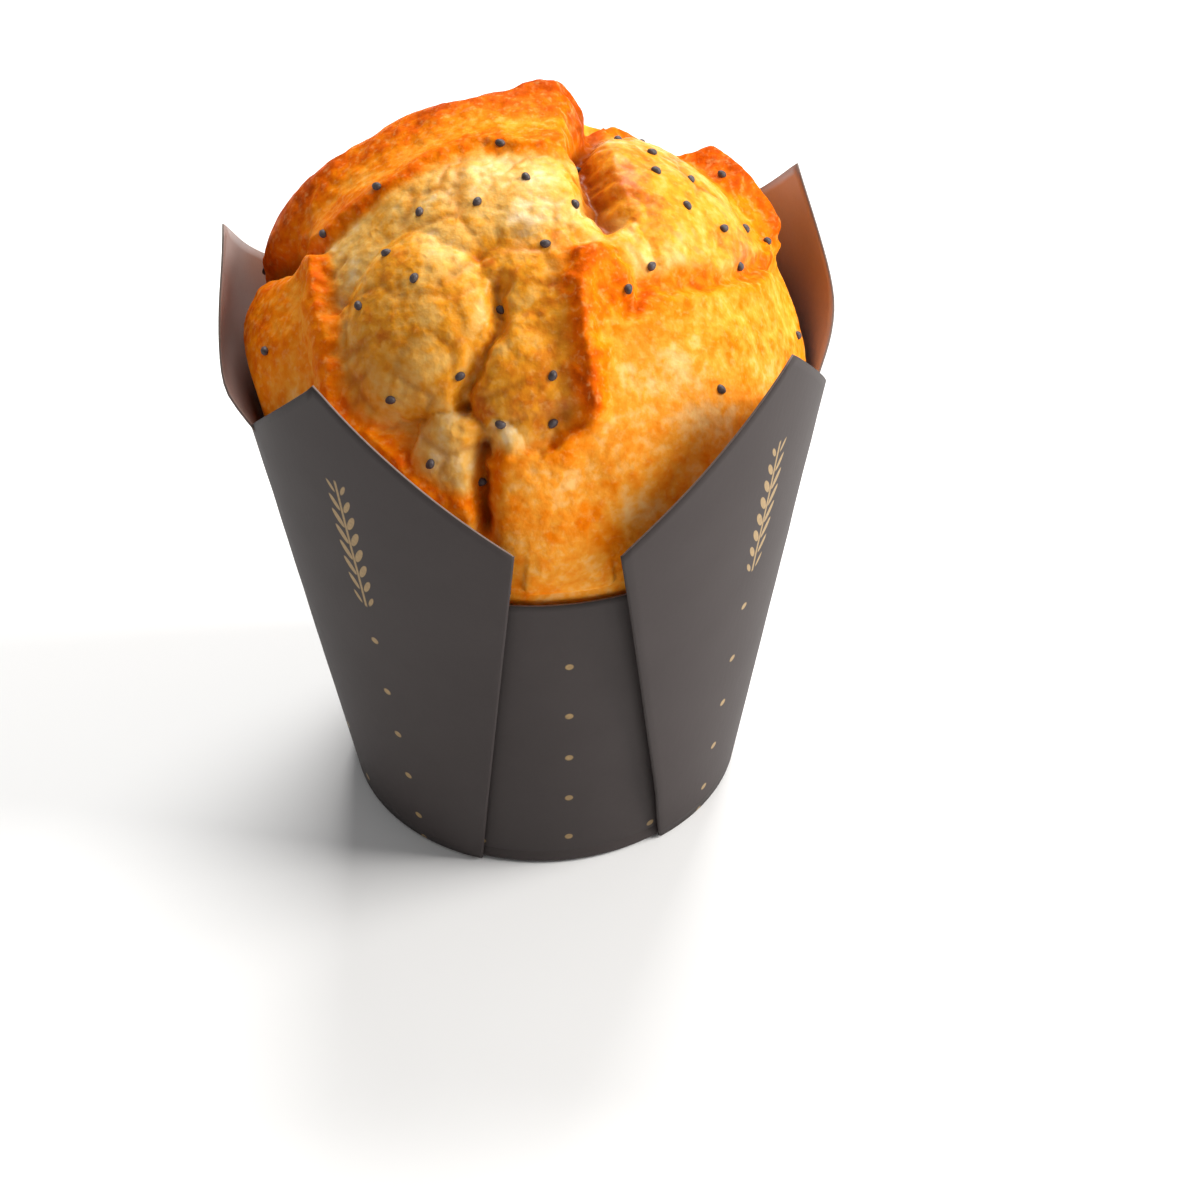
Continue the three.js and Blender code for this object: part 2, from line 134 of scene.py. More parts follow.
class Graph:
    """A small helper that adds and joins the nodes of one tree."""

    def __init__(self, tree: bpy.types.NodeTree) -> None:
        """Holds the tree that nodes are added to."""
        self.tree = tree

    def feed(self, node: bpy.types.Node, inputs: dict[Union[str, int], Value]) -> None:
        """Sets a node's inputs.

        Args:
            node: The node.
            inputs: Socket name or number to a value or to the socket that feeds it.
        """
        for name, value in inputs.items():
            if isinstance(value, Socket):
                self.tree.links.new(value, node.inputs[name])
            else:
                node.inputs[name].default_value = value

    def node(self, kind: str, inputs: Optional[dict] = None, **settings: object) -> bpy.types.Node:
        """Adds a node.

        Args:
            kind: Blender's name of the node's class.
            inputs: Socket name or number to a value or to the socket that feeds it.
            settings: Properties of the node.

        Returns:
            The new node.
        """
        made = self.tree.nodes.new(kind)
        for name, value in settings.items():
            setattr(made, name, value)
        self.feed(made, inputs or {})
        return made

    def math(self, operation: str, *values: Value) -> Socket:
        """Returns the result of a Math node with the named operation."""
        return self.node("ShaderNodeMath", dict(enumerate(values)), operation=operation).outputs[0]

    def plus(self, first: Value, second: Value) -> Socket:
        """Returns the sum of two values."""
        return self.math("ADD", first, second)

    def minus(self, first: Value, second: Value) -> Socket:
        """Returns the first value less the second."""
        return self.math("SUBTRACT", first, second)

    def times(self, first: Value, second: Value) -> Socket:
        """Returns the product of two values."""
        return self.math("MULTIPLY", first, second)

    def squares(self, first: Value, second: Value) -> Socket:
        """Returns the sum of the squares of two values."""
        return self.plus(self.times(first, first), self.times(second, second))

    def blend(self, share: Value, first: Value, second: Value) -> Socket:
        """Returns a colour that goes from the first to the second as the share grows."""
        return self.node("ShaderNodeMix", {0: share, 6: first, 7: second}, data_type="RGBA").outputs[2]

    def ramp(self, value: Value, stops: Stops) -> Socket:
        """Adds a Color Ramp node.

        Args:
            value: Socket that drives the ramp.
            stops: Positions with their colours.

        Returns:
            The socket of the colour.
        """
        made = self.node("ShaderNodeValToRGB", {0: value})
        elements = made.color_ramp.elements
        while len(elements) < len(stops):
            elements.new(1.0)
        for element, (position, colour) in zip(elements, stops):
            element.position = position
            element.color = colour
        return made.outputs[0]

    def reach(self, value: Value, low: float, high: float) -> Socket:
        """Returns a smooth step from 0 at low to 1 at high."""
        inputs = {"Value": value, "From Min": low, "From Max": high}
        return self.node("ShaderNodeMapRange", inputs, interpolation_type="SMOOTHSTEP").outputs[0]

    def cloud(self, place: Socket, scale: Value, detail: float) -> Socket:
        """Returns the factor of a Noise Texture node."""
        inputs = {"Vector": place, "Scale": scale, "Detail": detail}
        return self.node("ShaderNodeTexNoise", inputs).outputs[0]

    def cells(self, place: Socket, scale: float) -> Socket:
        """Returns the distance of a Voronoi Texture node."""
        return self.node("ShaderNodeTexVoronoi", {"Vector": place, "Scale": scale}).outputs["Distance"]

    def bump(self, height: Socket, strength: float, distance: float) -> Socket:
        """Returns the normal of a Bump node, whose distance is in metres."""
        inputs = {"Strength": strength, "Distance": distance, "Height": height}
        return self.node("ShaderNodeBump", inputs).outputs[0]


class SharedEffects:
    """Node groups that more than one finish uses, each made once."""

    detail: ClassVar[float] = 3.0

    def __init__(self) -> None:
        """Makes the groups."""
        self.mottle = self._mottle()

    def _mottle(self) -> bpy.types.NodeTree:
        """Makes a group of patches at two scales.

        Returns:
            The group, with a mask of patches and one of specks.
        """
        tree = bpy.data.node_groups.new("mottle", "ShaderNodeTree")
        face = tree.interface
        face.new_socket("Vector", in_out="INPUT", socket_type="NodeSocketVector")
        for name, start in (("Patch scale", 180.0), ("Speck scale", 900.0), ("Contrast", 2.0)):
            socket = face.new_socket(name, in_out="INPUT", socket_type="NodeSocketFloat")
            socket.default_value = start
        graph = Graph(tree)
        given = graph.node("NodeGroupInput").outputs
        masks = {}
        for name, scale in (("Patches", "Patch scale"), ("Specks", "Speck scale")):
            face.new_socket(name, in_out="OUTPUT", socket_type="NodeSocketFloat")
            centred = graph.minus(graph.cloud(given["Vector"], given[scale], self.detail), 0.5)
            wide = graph.plus(graph.times(centred, given["Contrast"]), 0.5)
            masks[name] = graph.node("ShaderNodeClamp", {0: wide}).outputs[0]
        graph.node("NodeGroupOutput", masks)
        return tree

    def add_mottle(self, graph: Graph, place: Socket, scales: Triple) -> tuple[Socket, Socket]:
        """Places the mottle group in a material.

        Args:
            graph: The material's graph.
            place: Socket of the coordinates.
            scales: Scale of the patches, scale of the specks, and how hard both are.

        Returns:
            The sockets of the patches and of the specks.
        """
        inputs = {"Vector": place, "Patch scale": scales[0], "Speck scale": scales[1], "Contrast": scales[2]}
        made = graph.node("ShaderNodeGroup", inputs, node_tree=self.mottle)
        return made.outputs["Patches"], made.outputs["Specks"]


class Coating:
    """A new material, with its graph, its shader and its coordinates."""

    def __init__(self, name: str) -> None:
        """Starts a material of that name."""
        self.material = bpy.data.materials.new(name)
        self.material.use_nodes = True
        self.graph = Graph(self.material.node_tree)
        nodes = self.material.node_tree.nodes
        self.shader = next(node for node in nodes if node.type == "BSDF_PRINCIPLED")
        self.place = self.graph.node("ShaderNodeTexCoord").outputs["Object"]

    def finish(self, **inputs: Value) -> bpy.types.Material:
        """Dresses the shader.

        Args:
            inputs: The shader's inputs, with _ for each space in a name.

        Returns:
            The finished material.
        """
        self.graph.feed(self.shader, {name.replace("_", " "): value for name, value in inputs.items()})
        return self.material


@dataclass(frozen=True)
class Side:
    """How one side of the paper is stained and speckled, and how it shines."""

    plain: Colour
    stained: Colour
    stains: float
    specked: Colour
    specks: float
    roughness: float
    rough_stains: float = 0.0
    rough_specks: float = 0.0
    specular: float = 0.5


SIDES = {
    Coat.OUTSIDE: Side(tone(60, 53, 52), tone(69, 62, 61), 0.5, tone(52, 46, 46), 0.18, 0.66, specular=0.245),
    Coat.INSIDE: Side(
        tone(158, 138, 132), tone(124, 106, 99), 0.55, tone(90, 55, 40), 0.12, 0.36,
        rough_stains=0.14, specular=0.6,
    ),
    Coat.CUT_EDGE: Side(
        tone(120, 104, 96), tone(120, 104, 96), 0.0, tone(60, 53, 52), 0.4, 0.7, rough_specks=0.1
    ),
}


@dataclass(frozen=True)
class PaperFinish:
    """Dark baking paper, brown inside, with gold printing outside."""

    gold: Colour = tone(170, 140, 92)
    gold_cover: Place = (0.55, 0.45)
    gold_gloss: float = 0.2
    mottle: Triple = (90.0, 2600.0, 1.6)
    stain_height: float = 0.8
    fibre_height: float = 0.5
    fibre_scale: float = 1500.0
    fibre_detail: float = 4.0
    fibre_stretch: Triple = (1.0, 1.0, 0.35)
    bump_strength: float = 0.35
    bump_depth: float = 0.00008
    print_width: float = 209.3
    base_radius: float = 25.0
    dot_rays: int = 16
    sprig_rays: int = 4
    dot_slants: tuple[float, ...] = (0.4, 5.0, 13.1, 21.2, 29.3, 38.6)
    dot_radius: float = 0.5
    blur: float = 0.12
    sprig_start: float = 44.5
    sprig_end: float = 66.0
    sprig_fade: float = 0.4
    leaf_growth: Place = (1.35, 0.2)
    leaf_rim: Place = (0.25, -0.15)
    leaf_pitch: float = 2.7
    leaf_length: float = 1.45
    leaf_width: float = 0.4
    leaf_out: float = 0.95
    leaf_turn: float = 27.0
    stem_half_width: float = 0.17
    stem_blur: float = 0.1

    def _printing(self, graph: Graph) -> Socket:
        """Adds the printed dots and leaf sprigs, which follow the flat sheet.

        Args:
            graph: The material's graph.

        Returns:
            The socket of the mask of the printing.
        """
        sheet = graph.node("ShaderNodeUVMap", uv_map="sheet").outputs[0]
        split = graph.node("ShaderNodeSeparateXYZ", {0: sheet}).outputs
        x, y = (graph.times(graph.minus(part, 0.5), self.print_width) for part in split[:2])
        length = graph.math("SQRT", graph.squares(x, y))
        slant = graph.minus(length, self.base_radius)
        angle = graph.math("ARCTAN2", y, x)
        across = self._across(graph, angle, length, math.tau / self.dot_rays, 0.0)
        pitch = math.tau / self.sprig_rays
        diagonal = self._across(graph, angle, length, pitch, pitch / 2)
        mask = self._sprig(graph, slant, diagonal)
        for place in self.dot_slants:
            gap = graph.math("SQRT", graph.squares(graph.minus(slant, place), across))
            dot = graph.reach(gap, self.dot_radius + self.blur, self.dot_radius - self.blur)
            mask = graph.math("MAXIMUM", mask, dot)
        return mask

    def _across(self, graph: Graph, angle: Socket, length: Socket, pitch: float, start: float) -> Socket:
        """Adds the signed distance from the nearest of evenly spaced rays.

        Args:
            graph: The material's graph.
            angle: Socket of the angle on the sheet.
            length: Socket of the distance from the sheet's middle.
            pitch: Angle between the rays, in radians.
            start: Angle of one ray, in radians.

        Returns:
            The socket of the distance.
        """
        turned = graph.minus(angle, start)
        nearest = graph.math("ROUND", graph.math("DIVIDE", turned, pitch))
        return graph.times(graph.minus(turned, graph.times(nearest, pitch)), length)

    def _sprig(self, graph: Graph, slant: Socket, across: Socket) -> Socket:
        """Adds a plain sprig of paired leaves on a stem.

        Args:
            graph: The material's graph.
            slant: Socket of the distance up the sheet.
            across: Socket of the distance from the stem.

        Returns:
            The socket of the sprig's mask.
        """
        middle = (self.sprig_start + self.sprig_end) / 2
        half = (self.sprig_end - self.sprig_start) / 2
        from_middle = graph.math("ABSOLUTE", graph.minus(slant, middle))
        within = graph.reach(from_middle, half, half - self.sprig_fade)
        size = graph.reach(from_middle, *(half * share for share in self.leaf_growth))
        cell = graph.math("DIVIDE", graph.minus(slant, self.sprig_start), self.leaf_pitch)
        along = graph.times(graph.minus(graph.math("FRACT", cell), 0.5), self.leaf_pitch)
        from_stem = graph.math("ABSOLUTE", across)
        beside = graph.minus(from_stem, self.leaf_out)
        cosine = math.cos(math.radians(self.leaf_turn))
        sine = math.sin(math.radians(self.leaf_turn))
        long = graph.plus(graph.times(along, cosine), graph.times(beside, sine))
        wide = graph.minus(graph.times(beside, cosine), graph.times(along, sine))
        long = graph.math("DIVIDE", long, self.leaf_length)
        wide = graph.math("DIVIDE", wide, self.leaf_width)
        leaf = graph.reach(graph.minus(graph.squares(long, wide), size), *self.leaf_rim)
        half_width, blur = self.stem_half_width, self.stem_blur
        stem = graph.reach(from_stem, half_width + blur, half_width - blur)
        return graph.times(within, graph.math("MAXIMUM", leaf, stem))

    def material(self, coat: Coat, effects: SharedEffects) -> bpy.types.Material:
        """Makes the material of one side of the paper.

        Args:
            coat: The side of the paper.
            effects: The shared node groups.

        Returns:
            The material.
        """
        side = SIDES[coat]
        coating = Coating(f"paper_{coat.value}")
        graph = coating.graph
        patches, specks = effects.add_mottle(graph, coating.place, self.mottle)
        stretch = {0: coating.place, "Scale": self.fibre_stretch}
        stretched = graph.node("ShaderNodeMapping", stretch).outputs[0]
        fibres = graph.cloud(stretched, self.fibre_scale, self.fibre_detail)
        colour = graph.blend(graph.times(patches, side.stains), side.plain, side.stained)
        colour = graph.blend(graph.times(specks, side.specks), colour, side.specked)
        rough = graph.plus(graph.times(patches, side.rough_stains), graph.times(specks, side.rough_specks))
        rough = graph.plus(side.roughness, rough)
        if coat is Coat.OUTSIDE:
            printing = self._printing(graph)
            least, more = self.gold_cover
            thin = graph.times(printing, graph.plus(least, graph.times(specks, more)))
            colour = graph.blend(thin, colour, self.gold)
            rough = graph.minus(rough, graph.times(printing, self.gold_gloss))
        height = graph.plus(graph.times(fibres, self.fibre_height), graph.times(patches, self.stain_height))
        return coating.finish(
            Base_Color=colour, Roughness=rough, Specular_IOR_Level=side.specular,
            Normal=graph.bump(height, self.bump_strength, self.bump_depth),
        )


@dataclass(frozen=True)
class BakedFinish:
    """Baked crust and moist crumb, told apart by the muffin's own attributes, with painted shade in the
    hollows and painted sheen specks.
    """

    crust: Stops = (
        (0.0, tone(252, 198, 124)),
        (0.3, tone(246, 158, 48)),
        (0.55, tone(238, 126, 4)),
        (0.8, tone(222, 96, 0)),
        (1.0, tone(186, 72, 0)),
    )
    crumb: Stops = (
        (0.0, tone(246, 218, 172)),
        (0.35, tone(236, 182, 94)),
        (0.65, tone(230, 150, 30)),
        (1.0, tone(198, 98, 0)),
    )
    # Painted shade: deep orange-brown laid into the hollows and creases, where shade falls.
    recess_shade: Colour = tone(150, 66, 0)
    # Painted sheen: pale highlight specks strewn over crust and crumb.
    painted_sheen: Colour = tone(252, 208, 126)
    mottle: Triple = (210.0, 720.0, 2.6)
    unevenness: float = 0.32
    # Scale and detail of the fine noise that places the painted sheen specks and adds fine bumps.
    fine_scale: float = 1250.0
    fine_detail: float = 2.0
    sheen_from: Place = (0.5, 0.76)
    sheen_strength: float = 0.22
    pore_scale: float = 620.0
    pore_width: float = 0.55
    pores_in_crust: float = 0.35
    speck_height: float = 0.9
    fine_height: float = 0.35
    bump_strength: float = 0.5
    bump_depth: float = 0.0002
    roughness: float = 0.4
    rough_specks: float = 0.25
    crumb_gloss: float = 0.12
    moist: float = 0.35
    moist_roughness: float = 0.35
    moist_ior: float = 1.45
    specular: float = 0.03
    glow: float = 0.16
    glow_depth: float = 0.002
    glow_colour: Triple = (1.0, 0.5, 0.2)

    def material(self, effects: SharedEffects) -> bpy.types.Material:
        """Makes the muffin's material.

        Args:
            effects: The shared node groups.

        Returns:
            The material.
        """
        coating = Coating("baked_crumb_and_crust")
        graph = coating.graph
        is_crumb, bake, recess_shade = (
            graph.node("ShaderNodeAttribute", attribute_name=name).outputs["Fac"]
            for name in ("crumb", "bake", "recess_shade")
        )
        patches, specks = effects.add_mottle(graph, coating.place, self.mottle)
        fine = graph.cloud(coating.place, self.fine_scale, self.fine_detail)
        uneven = graph.minus(graph.plus(patches, specks), 1.0)
        baked = graph.plus(bake, graph.times(uneven, self.unevenness))
        colour = graph.blend(is_crumb, graph.ramp(baked, self.crust), graph.ramp(baked, self.crumb))
        # Painted highlight: pale sheen specks where the fine noise is high.
        painted_sheen = graph.times(graph.reach(fine, *self.sheen_from), self.sheen_strength)
        colour = graph.blend(painted_sheen, colour, self.painted_sheen)
        # Painted shade: hollows and creases darken by the muffin's recess attribute.
        colour = graph.blend(recess_shade, colour, self.recess_shade)
        rough = graph.minus(graph.times(specks, self.rough_specks), graph.times(is_crumb, self.crumb_gloss))
        pores = graph.reach(graph.cells(coating.place, self.pore_scale), 0.0, self.pore_width)
        height = graph.plus(graph.times(specks, self.speck_height), graph.times(fine, self.fine_height))
        height = graph.plus(height, graph.times(pores, graph.plus(self.pores_in_crust, is_crumb)))
        return coating.finish(
            Base_Color=colour, Roughness=graph.plus(self.roughness, rough), Specular_IOR_Level=self.specular,
            Coat_Weight=graph.times(is_crumb, self.moist), Coat_Roughness=self.moist_roughness,
            Coat_IOR=self.moist_ior, Subsurface_Weight=self.glow, Subsurface_Scale=self.glow_depth,
            Subsurface_Radius=self.glow_colour,
            Normal=graph.bump(height, self.bump_strength, self.bump_depth),
        )


@dataclass(frozen=True)
class SeedFinish:
    """Dark slate seeds, a little lighter in random patches."""

    dark: Colour = tone(46, 38, 40)
    light: Colour = tone(90, 78, 80)
    lightness: float = 0.8
    roughness: float = 0.4
    rough_specks: float = 0.25
    mottle: Triple = (1400.0, 5200.0, 2.0)
    net_scale: float = 5000.0
    bump_strength: float = 0.5
    bump_depth: float = 0.00005

    def material(self, effects: SharedEffects) -> bpy.types.Material:
        """Makes the seeds' material.

        Args:
            effects: The shared node groups.

        Returns:
            The material.
        """
        coating = Coating("poppy_seed")
        graph = coating.graph
        patches, specks = effects.add_mottle(graph, coating.place, self.mottle)
        colour = graph.blend(graph.times(patches, self.lightness), self.dark, self.light)
        rough = graph.plus(self.roughness, graph.times(specks, self.rough_specks))
        net = graph.cells(coating.place, self.net_scale)
        normal = graph.bump(net, self.bump_strength, self.bump_depth)
        return coating.finish(Base_Color=colour, Roughness=rough, Normal=normal)


@dataclass(frozen=True)
class Line:
    """A fold or seam up the case, by its azimuth at the base and at the notch."""

    base: float
    notch: float

    def turned(self, turn: float) -> "Line":
        """Returns the line moved round the case."""
        return Line(self.base + turn, self.notch + turn)


@dataclass(frozen=True)
class ConeWall:
    """The cone that the square sheet is rolled to, and where the sheet ends on it."""

    base_radius: float = 25.0
    lean: float = 9.4
    half_side: float = 73.8
    sheet_forward: float = 1.1
    sheet_left: float = 0.6
    notch_slant: float = 61.0
    least_facing: float = 0.3

    @property
    def apex(self) -> float:
        """Returns the distance down the slope from the base to the cone's tip."""
        return self.base_radius / math.sin(math.radians(self.lean))

    def radius(self, slant: Floats) -> Floats:
        """Returns the wall's radius at a distance up the slope."""
        return self.base_radius + slant * math.sin(math.radians(self.lean))

    def radius_at_height(self, z: Floats) -> Floats:
        """Returns the wall's radius at a height."""
        return self.base_radius + z * math.tan(math.radians(self.lean))

    def azimuth(self, line: Line, slant: Floats) -> Floats:
        """Returns the azimuth of a straight crease at a distance up the slope."""
        run = slant / self.notch_slant * (self.apex + self.notch_slant) / (self.apex + slant)
        return mix(line.base, line.notch, run)

    def flat_angle(self, turn: float) -> float:
        """Returns the angle, in radians, that a turn round the wall unrolls to."""
        return math.radians(turn) * math.sin(math.radians(self.lean))

    def flat_place(self, turn: float, slant: float) -> Place:
        """Unrolls a point of the wall on to the flat sheet.

        Args:
            turn: Turn round the wall from the sheet's corner or side.
            slant: Distance up the slope.

        Returns:
            Distances from the sheet's middle, along the corner's or side's ray and across it.
        """
        length = self.apex + slant
        angle = self.flat_angle(turn)
        return length * math.cos(angle) - self.apex + self.base_radius, length * math.sin(angle)

    def sheet_end(self, turn: float, on_sheet: float) -> float:
        """Finds where the sheet ends above a point of the wall.

        Args:
            turn: Turn round the wall from the patch's middle.
            on_sheet: Direction of the patch's middle on the sheet, 0 towards the front.

        Returns:
            The distance up the slope.
        """
        angle = self.flat_angle(turn)
        middle = self.apex - self.base_radius
        shifts = {0: self.sheet_forward, 90: -self.sheet_left, 180: -self.sheet_forward, 270: self.sheet_left}
        ends = []
        for side, shift in shifts.items():
            away = math.radians(side - on_sheet)
            facing = math.cos(angle - away)
            if facing > self.least_facing:
                ends.append((self.half_side + shift + middle * math.cos(away)) / facing - self.apex)
        return min(ends)

    def point(self, azimuth: float, slant: float, depth: float) -> Vector:
        """Places a point of the wall.

        Args:
            azimuth: Azimuth in degrees.
            slant: Distance up the slope.
            depth: How far inside the wall the point lies.

        Returns:
            The point.
        """
        angle = math.radians(azimuth)
        lean = math.radians(self.lean)
        reach = self.radius(slant) - depth * math.cos(lean)
        height = slant * math.cos(lean) + depth * math.sin(lean)
        return Vector((reach * math.sin(angle), -reach * math.cos(angle), height))


@dataclass
class Column:
    """One run of the sheet up the wall."""

    azimuth: Callable[[float], float]
    sheet_turn: Callable[[float], float]
    depth: float
    spring: float
    flare: float


@dataclass
class Patch:
    """A part of the sheet. A pair holds a value for its start and one for its end."""

    name: str
    middle: float
    on_sheet: float
    lines: tuple[Line, Line]
    hems: tuple[bool, bool] = (False, False)
    depths: Place = (0.0, 0.0)
    sinking: Place = (0.0, 1.0)
    springs: Place = (0.0, 0.0)
    flares: Place = (0.0, 0.0)
    curl: float = 0.0
    foot_slant: float = 0.4
    columns: list[Column] = field(default_factory=list)


def faded(ends: Place, run: float, width: float, reach: float) -> float:
    """Returns what is left, a run from the start, of a spring or flare at both ends."""
    return ends[0] * math.exp(-run / reach) + ends[1] * math.exp(-(width - run) / reach)


@dataclass
class PaperCase:
    """The square sheet, folded into a cup with four petals and open front and back pleats."""

    wall: ConeWall = field(default_factory=ConeWall)
    finish: PaperFinish = field(default_factory=PaperFinish)
    paper: float = 0.24
    turn_radius: float = 0.3
    turn_steps: int = 6
    hem_steps: int = 4
    panel_depth: float = 0.9
    hem: float = 7.0
    lap: float = 6.0
    rows: int = 44
    settling: int = 20
    corner_turn: float = 3.0
    corner_step: float = 0.1
    pitch: float = 1.1
    span_radius: float = 33.0
    sway: float = 0.22
    sway_height: float = 50.0
    sway_sizes: Place = (17, 6)
    sway_shares: Triple = (0.5, 0.5, 0.25)
    left_spring: float = 1.0
    right_spring: float = 1.8
    back_spring: float = 1.2
    spring_reach: float = 9.0
    spring_at_foot: float = 0.35
    foot_slants: Place = (1, 14)
    spring_slants: Place = (22, 60)
    right_flare: float = 2.8
    left_flare: float = 2.6
    flare_reach: float = 16.0
    flare_slants: Place = (58.5, 67)
    tip_curl: float = 2.0
    curl_slants: Place = (66, 80)
    front_left_fold: Line = Line(-19.3, -3.5)
    front_right_fold: Line = Line(36.7, 16.0)
    right_seam: Line = Line(104.0, 86.0)
    back_right_fold: Line = Line(161.5, 152.0)
    back_left_fold: Line = Line(218.5, 228.0)
    left_seam: Line = Line(267.0, 286.0)
    front_pleat: float = 7.2
    back_pleat: float = 190.0
    front_right_tip: float = 52.0
    back_right_tip: float = 118.0
    back_left_tip: float = 262.0
    front_left_tip: float = 322.0
    foot_lift: float = 0.02
    foot_inset: float = 1.6
    foot_middle: float = 0.5
    heel_inset: float = 1.3
    heel_radius: float = 0.75
    heel_steps: int = 4
    heel_gap: float = 0.25
    heel_top: float = 3.5
    foot_segments: int = 144

    def _span(self, patch: Patch) -> None:
        """Adds the columns between a patch's two lines.

        Args:
            patch: The patch that gets them.
        """
        first, last = patch.lines
        width = math.radians(max(last.notch - first.notch, last.base - first.base)) * self.span_radius
        steps = max(2, round(width / self.pitch))
        for step in range(steps + 1):
            share = step / steps

            def azimuth(slant: float, share: float = share) -> float:
                """Returns the azimuth of this column at a slope distance."""
                return mix(self.wall.azimuth(first, slant), self.wall.azimuth(last, slant), share)

            def turned(slant: float, azimuth: Callable[[float], float] = azimuth) -> float:
                """Returns the turn from the patch's middle."""
                return turn_between(azimuth(slant), patch.middle)

            depth = mix(*patch.depths, float(ease(*patch.sinking, share)))
            spring = faded(patch.springs, share * width, width, self.spring_reach)
            flare = faded(patch.flares, share * width, width, self.flare_reach)
            patch.columns.append(Column(azimuth, turned, depth, spring, flare))

    def _beyond(self, patch: Patch, at_end: bool) -> None:
        """Carries a patch on past one of its lines, doubled back or under its neighbour.

        Args:
            patch: The patch to lengthen.
            at_end: Whether it grows past its last column.
        """
        edge = patch.columns[-1] if at_end else patch.columns[0]
        sign = 1.0 if at_end else -1.0
        radius = self.turn_radius
        added: list[tuple[float, float, float, float]] = []
        if patch.hems[at_end]:
            for step in range(1, self.turn_steps):
                angle = math.pi * step / self.turn_steps
                added.append((radius * math.sin(angle), radius * angle, radius * (1 - math.cos(angle)), 0.0))
            for step in range(self.hem_steps + 1):
                run = self.hem * step / self.hem_steps
                added.append((-run, radius * math.pi + run, 2 * radius, run))
        else:
            for step in range(1, self.hem_steps + 1):
                run = self.lap * step / self.hem_steps
                added.append((run, run, self.panel_depth, 0.0))
        for place, on_sheet, depth, run in added:

            def azimuth(slant: float, place: float = place) -> float:
                """Returns the azimuth of this column at a slope distance."""
                return edge.azimuth(slant) + sign * math.degrees(place / self.wall.radius(slant))

            def turned(slant: float, on_sheet: float = on_sheet) -> float:
                """Returns the turn that this column has on the sheet."""
                return edge.sheet_turn(slant) + sign * math.degrees(on_sheet / self.wall.radius(slant))

            fading = math.exp(-run / self.spring_reach)
            column = Column(azimuth, turned, depth, edge.spring * fading, edge.flare * fading)
            patch.columns.insert(len(patch.columns) if at_end else 0, column)

    def _patches(self) -> list[Patch]:
        """Lays out every part of the sheet.

        Returns:
            The patches, petals first.
        """
        inner = self.panel_depth
        patches = [
            Patch(
                "front left petal", self.front_left_tip, -45.0,
                (self.left_seam, self.front_left_fold.turned(360.0)), (True, True),
                springs=(0.0, self.left_spring),
            ),
            Patch(
                "front right petal", self.front_right_tip, 45.0,
                (self.front_right_fold, self.right_seam), (True, True),
                springs=(self.right_spring, 0.0),
            ),
            Patch(
                "back right petal", self.back_right_tip, 135.0,
                (self.right_seam, self.back_right_fold), (False, True), (inner, 0.0), (0.3, 0.95),
                springs=(0.0, self.back_spring), flares=(self.right_flare, 0.0), curl=self.tip_curl,
            ),
            Patch(
                "back left petal", self.back_left_tip, 225.0,
                (self.back_left_fold, self.left_seam), (True, False), (0.0, inner), (0.05, 0.7),
                springs=(self.back_spring, 0.0), flares=(0.0, self.left_flare), curl=self.tip_curl,
            ),
            Patch(
                "front panel", self.front_pleat, 0.0, (self.front_left_fold, self.front_right_fold),
                depths=(inner, inner), foot_slant=0.2,
            ),
            Patch(
                "back panel", self.back_pleat, 180.0, (self.back_right_fold, self.back_left_fold),
                depths=(inner, inner), foot_slant=0.2,
            ),
        ]
        for patch in patches:
            self._span(patch)
            self._beyond(patch, at_end=True)
            self._beyond(patch, at_end=False)
        return patches

    def _top(self, patch: Patch, column: Column) -> float:
        """Finds where a column leaves the sheet, by going back and forth until it settles.

        Args:
            patch: The part of the sheet.
            column: Its column.

        Returns:
            The distance up the slope.
        """
        slant = self.wall.notch_slant
        for _ in range(self.settling):
            slant = self.wall.sheet_end(column.sheet_turn(slant), patch.on_sheet)
        return slant

    def _uneven(self, point: Vector, slant: float) -> float:
        """Returns how far the hand-pressed paper strays from the cone."""
        grown = min(1.0, slant / self.sway_height)
        strays = (1.0, *(noise.noise(point / size) for size in self.sway_sizes))
        return self.sway * grown * sum(share * stray for share, stray in zip(self.sway_shares, strays))

    def _stand_off(self, patch: Patch, column: Column, slant: float) -> float:
        """Adds up a column's spring and flare, less the curl of the tip.

        Args:
            patch: The part of the sheet.
            column: Its column.
            slant: Distance up the slope.

        Returns:
            How far it stands out from the cone.
        """
        sprung = mix(ease(*self.spring_slants, slant), ease(*self.foot_slants, slant), self.spring_at_foot)
        flared = column.flare * ease(*self.flare_slants, slant)
        return column.spring * sprung + flared - patch.curl * ease(*self.curl_slants, slant)

    def _add_patch(self, bm: Mesh, patch: Patch) -> None:
        """Bends one grid into a part of the sheet.

        Args:
            bm: The mesh that gets it.
            patch: The part of the sheet.
        """
        uv_layer = bm.loops.layers.uv["sheet"]
        across = len(patch.columns) - 1
        made = bmesh.ops.create_grid(bm, x_segments=across, y_segments=self.rows, size=1.0)["verts"]
        sheet_at = {}
        tops = [self._top(patch, column) for column in patch.columns]
        if patch.on_sheet % 90:
            turns = np.arange(-self.corner_turn, self.corner_turn, self.corner_step)
            tops[tops.index(max(tops))] = max(self.wall.sheet_end(turn, patch.on_sheet) for turn in turns)
        turn = math.radians(patch.on_sheet)
        for vert in made:
            index = round((vert.co.x + 1) / 2 * across)
            column = patch.columns[index]
            slant = mix(patch.foot_slant, tops[index], (vert.co.y + 1) / 2)
            azimuth = column.azimuth(slant)
            uneven = self._uneven(self.wall.point(azimuth, slant, column.depth), slant)
            depth = column.depth + uneven - self._stand_off(patch, column, slant)
            along, beside = self.wall.flat_place(column.sheet_turn(slant), slant)
            sheet_at[vert] = (
                0.5 + (along * math.cos(turn) - beside * math.sin(turn)) / self.finish.print_width,
                0.5 + (along * math.sin(turn) + beside * math.cos(turn)) / self.finish.print_width,
            )
            vert.co = self.wall.point(azimuth, slant, depth)
        for face in {face for vert in made for face in vert.link_faces}:
            for loop in face.loops:
                loop[uv_layer].uv = sheet_at[loop.vert]

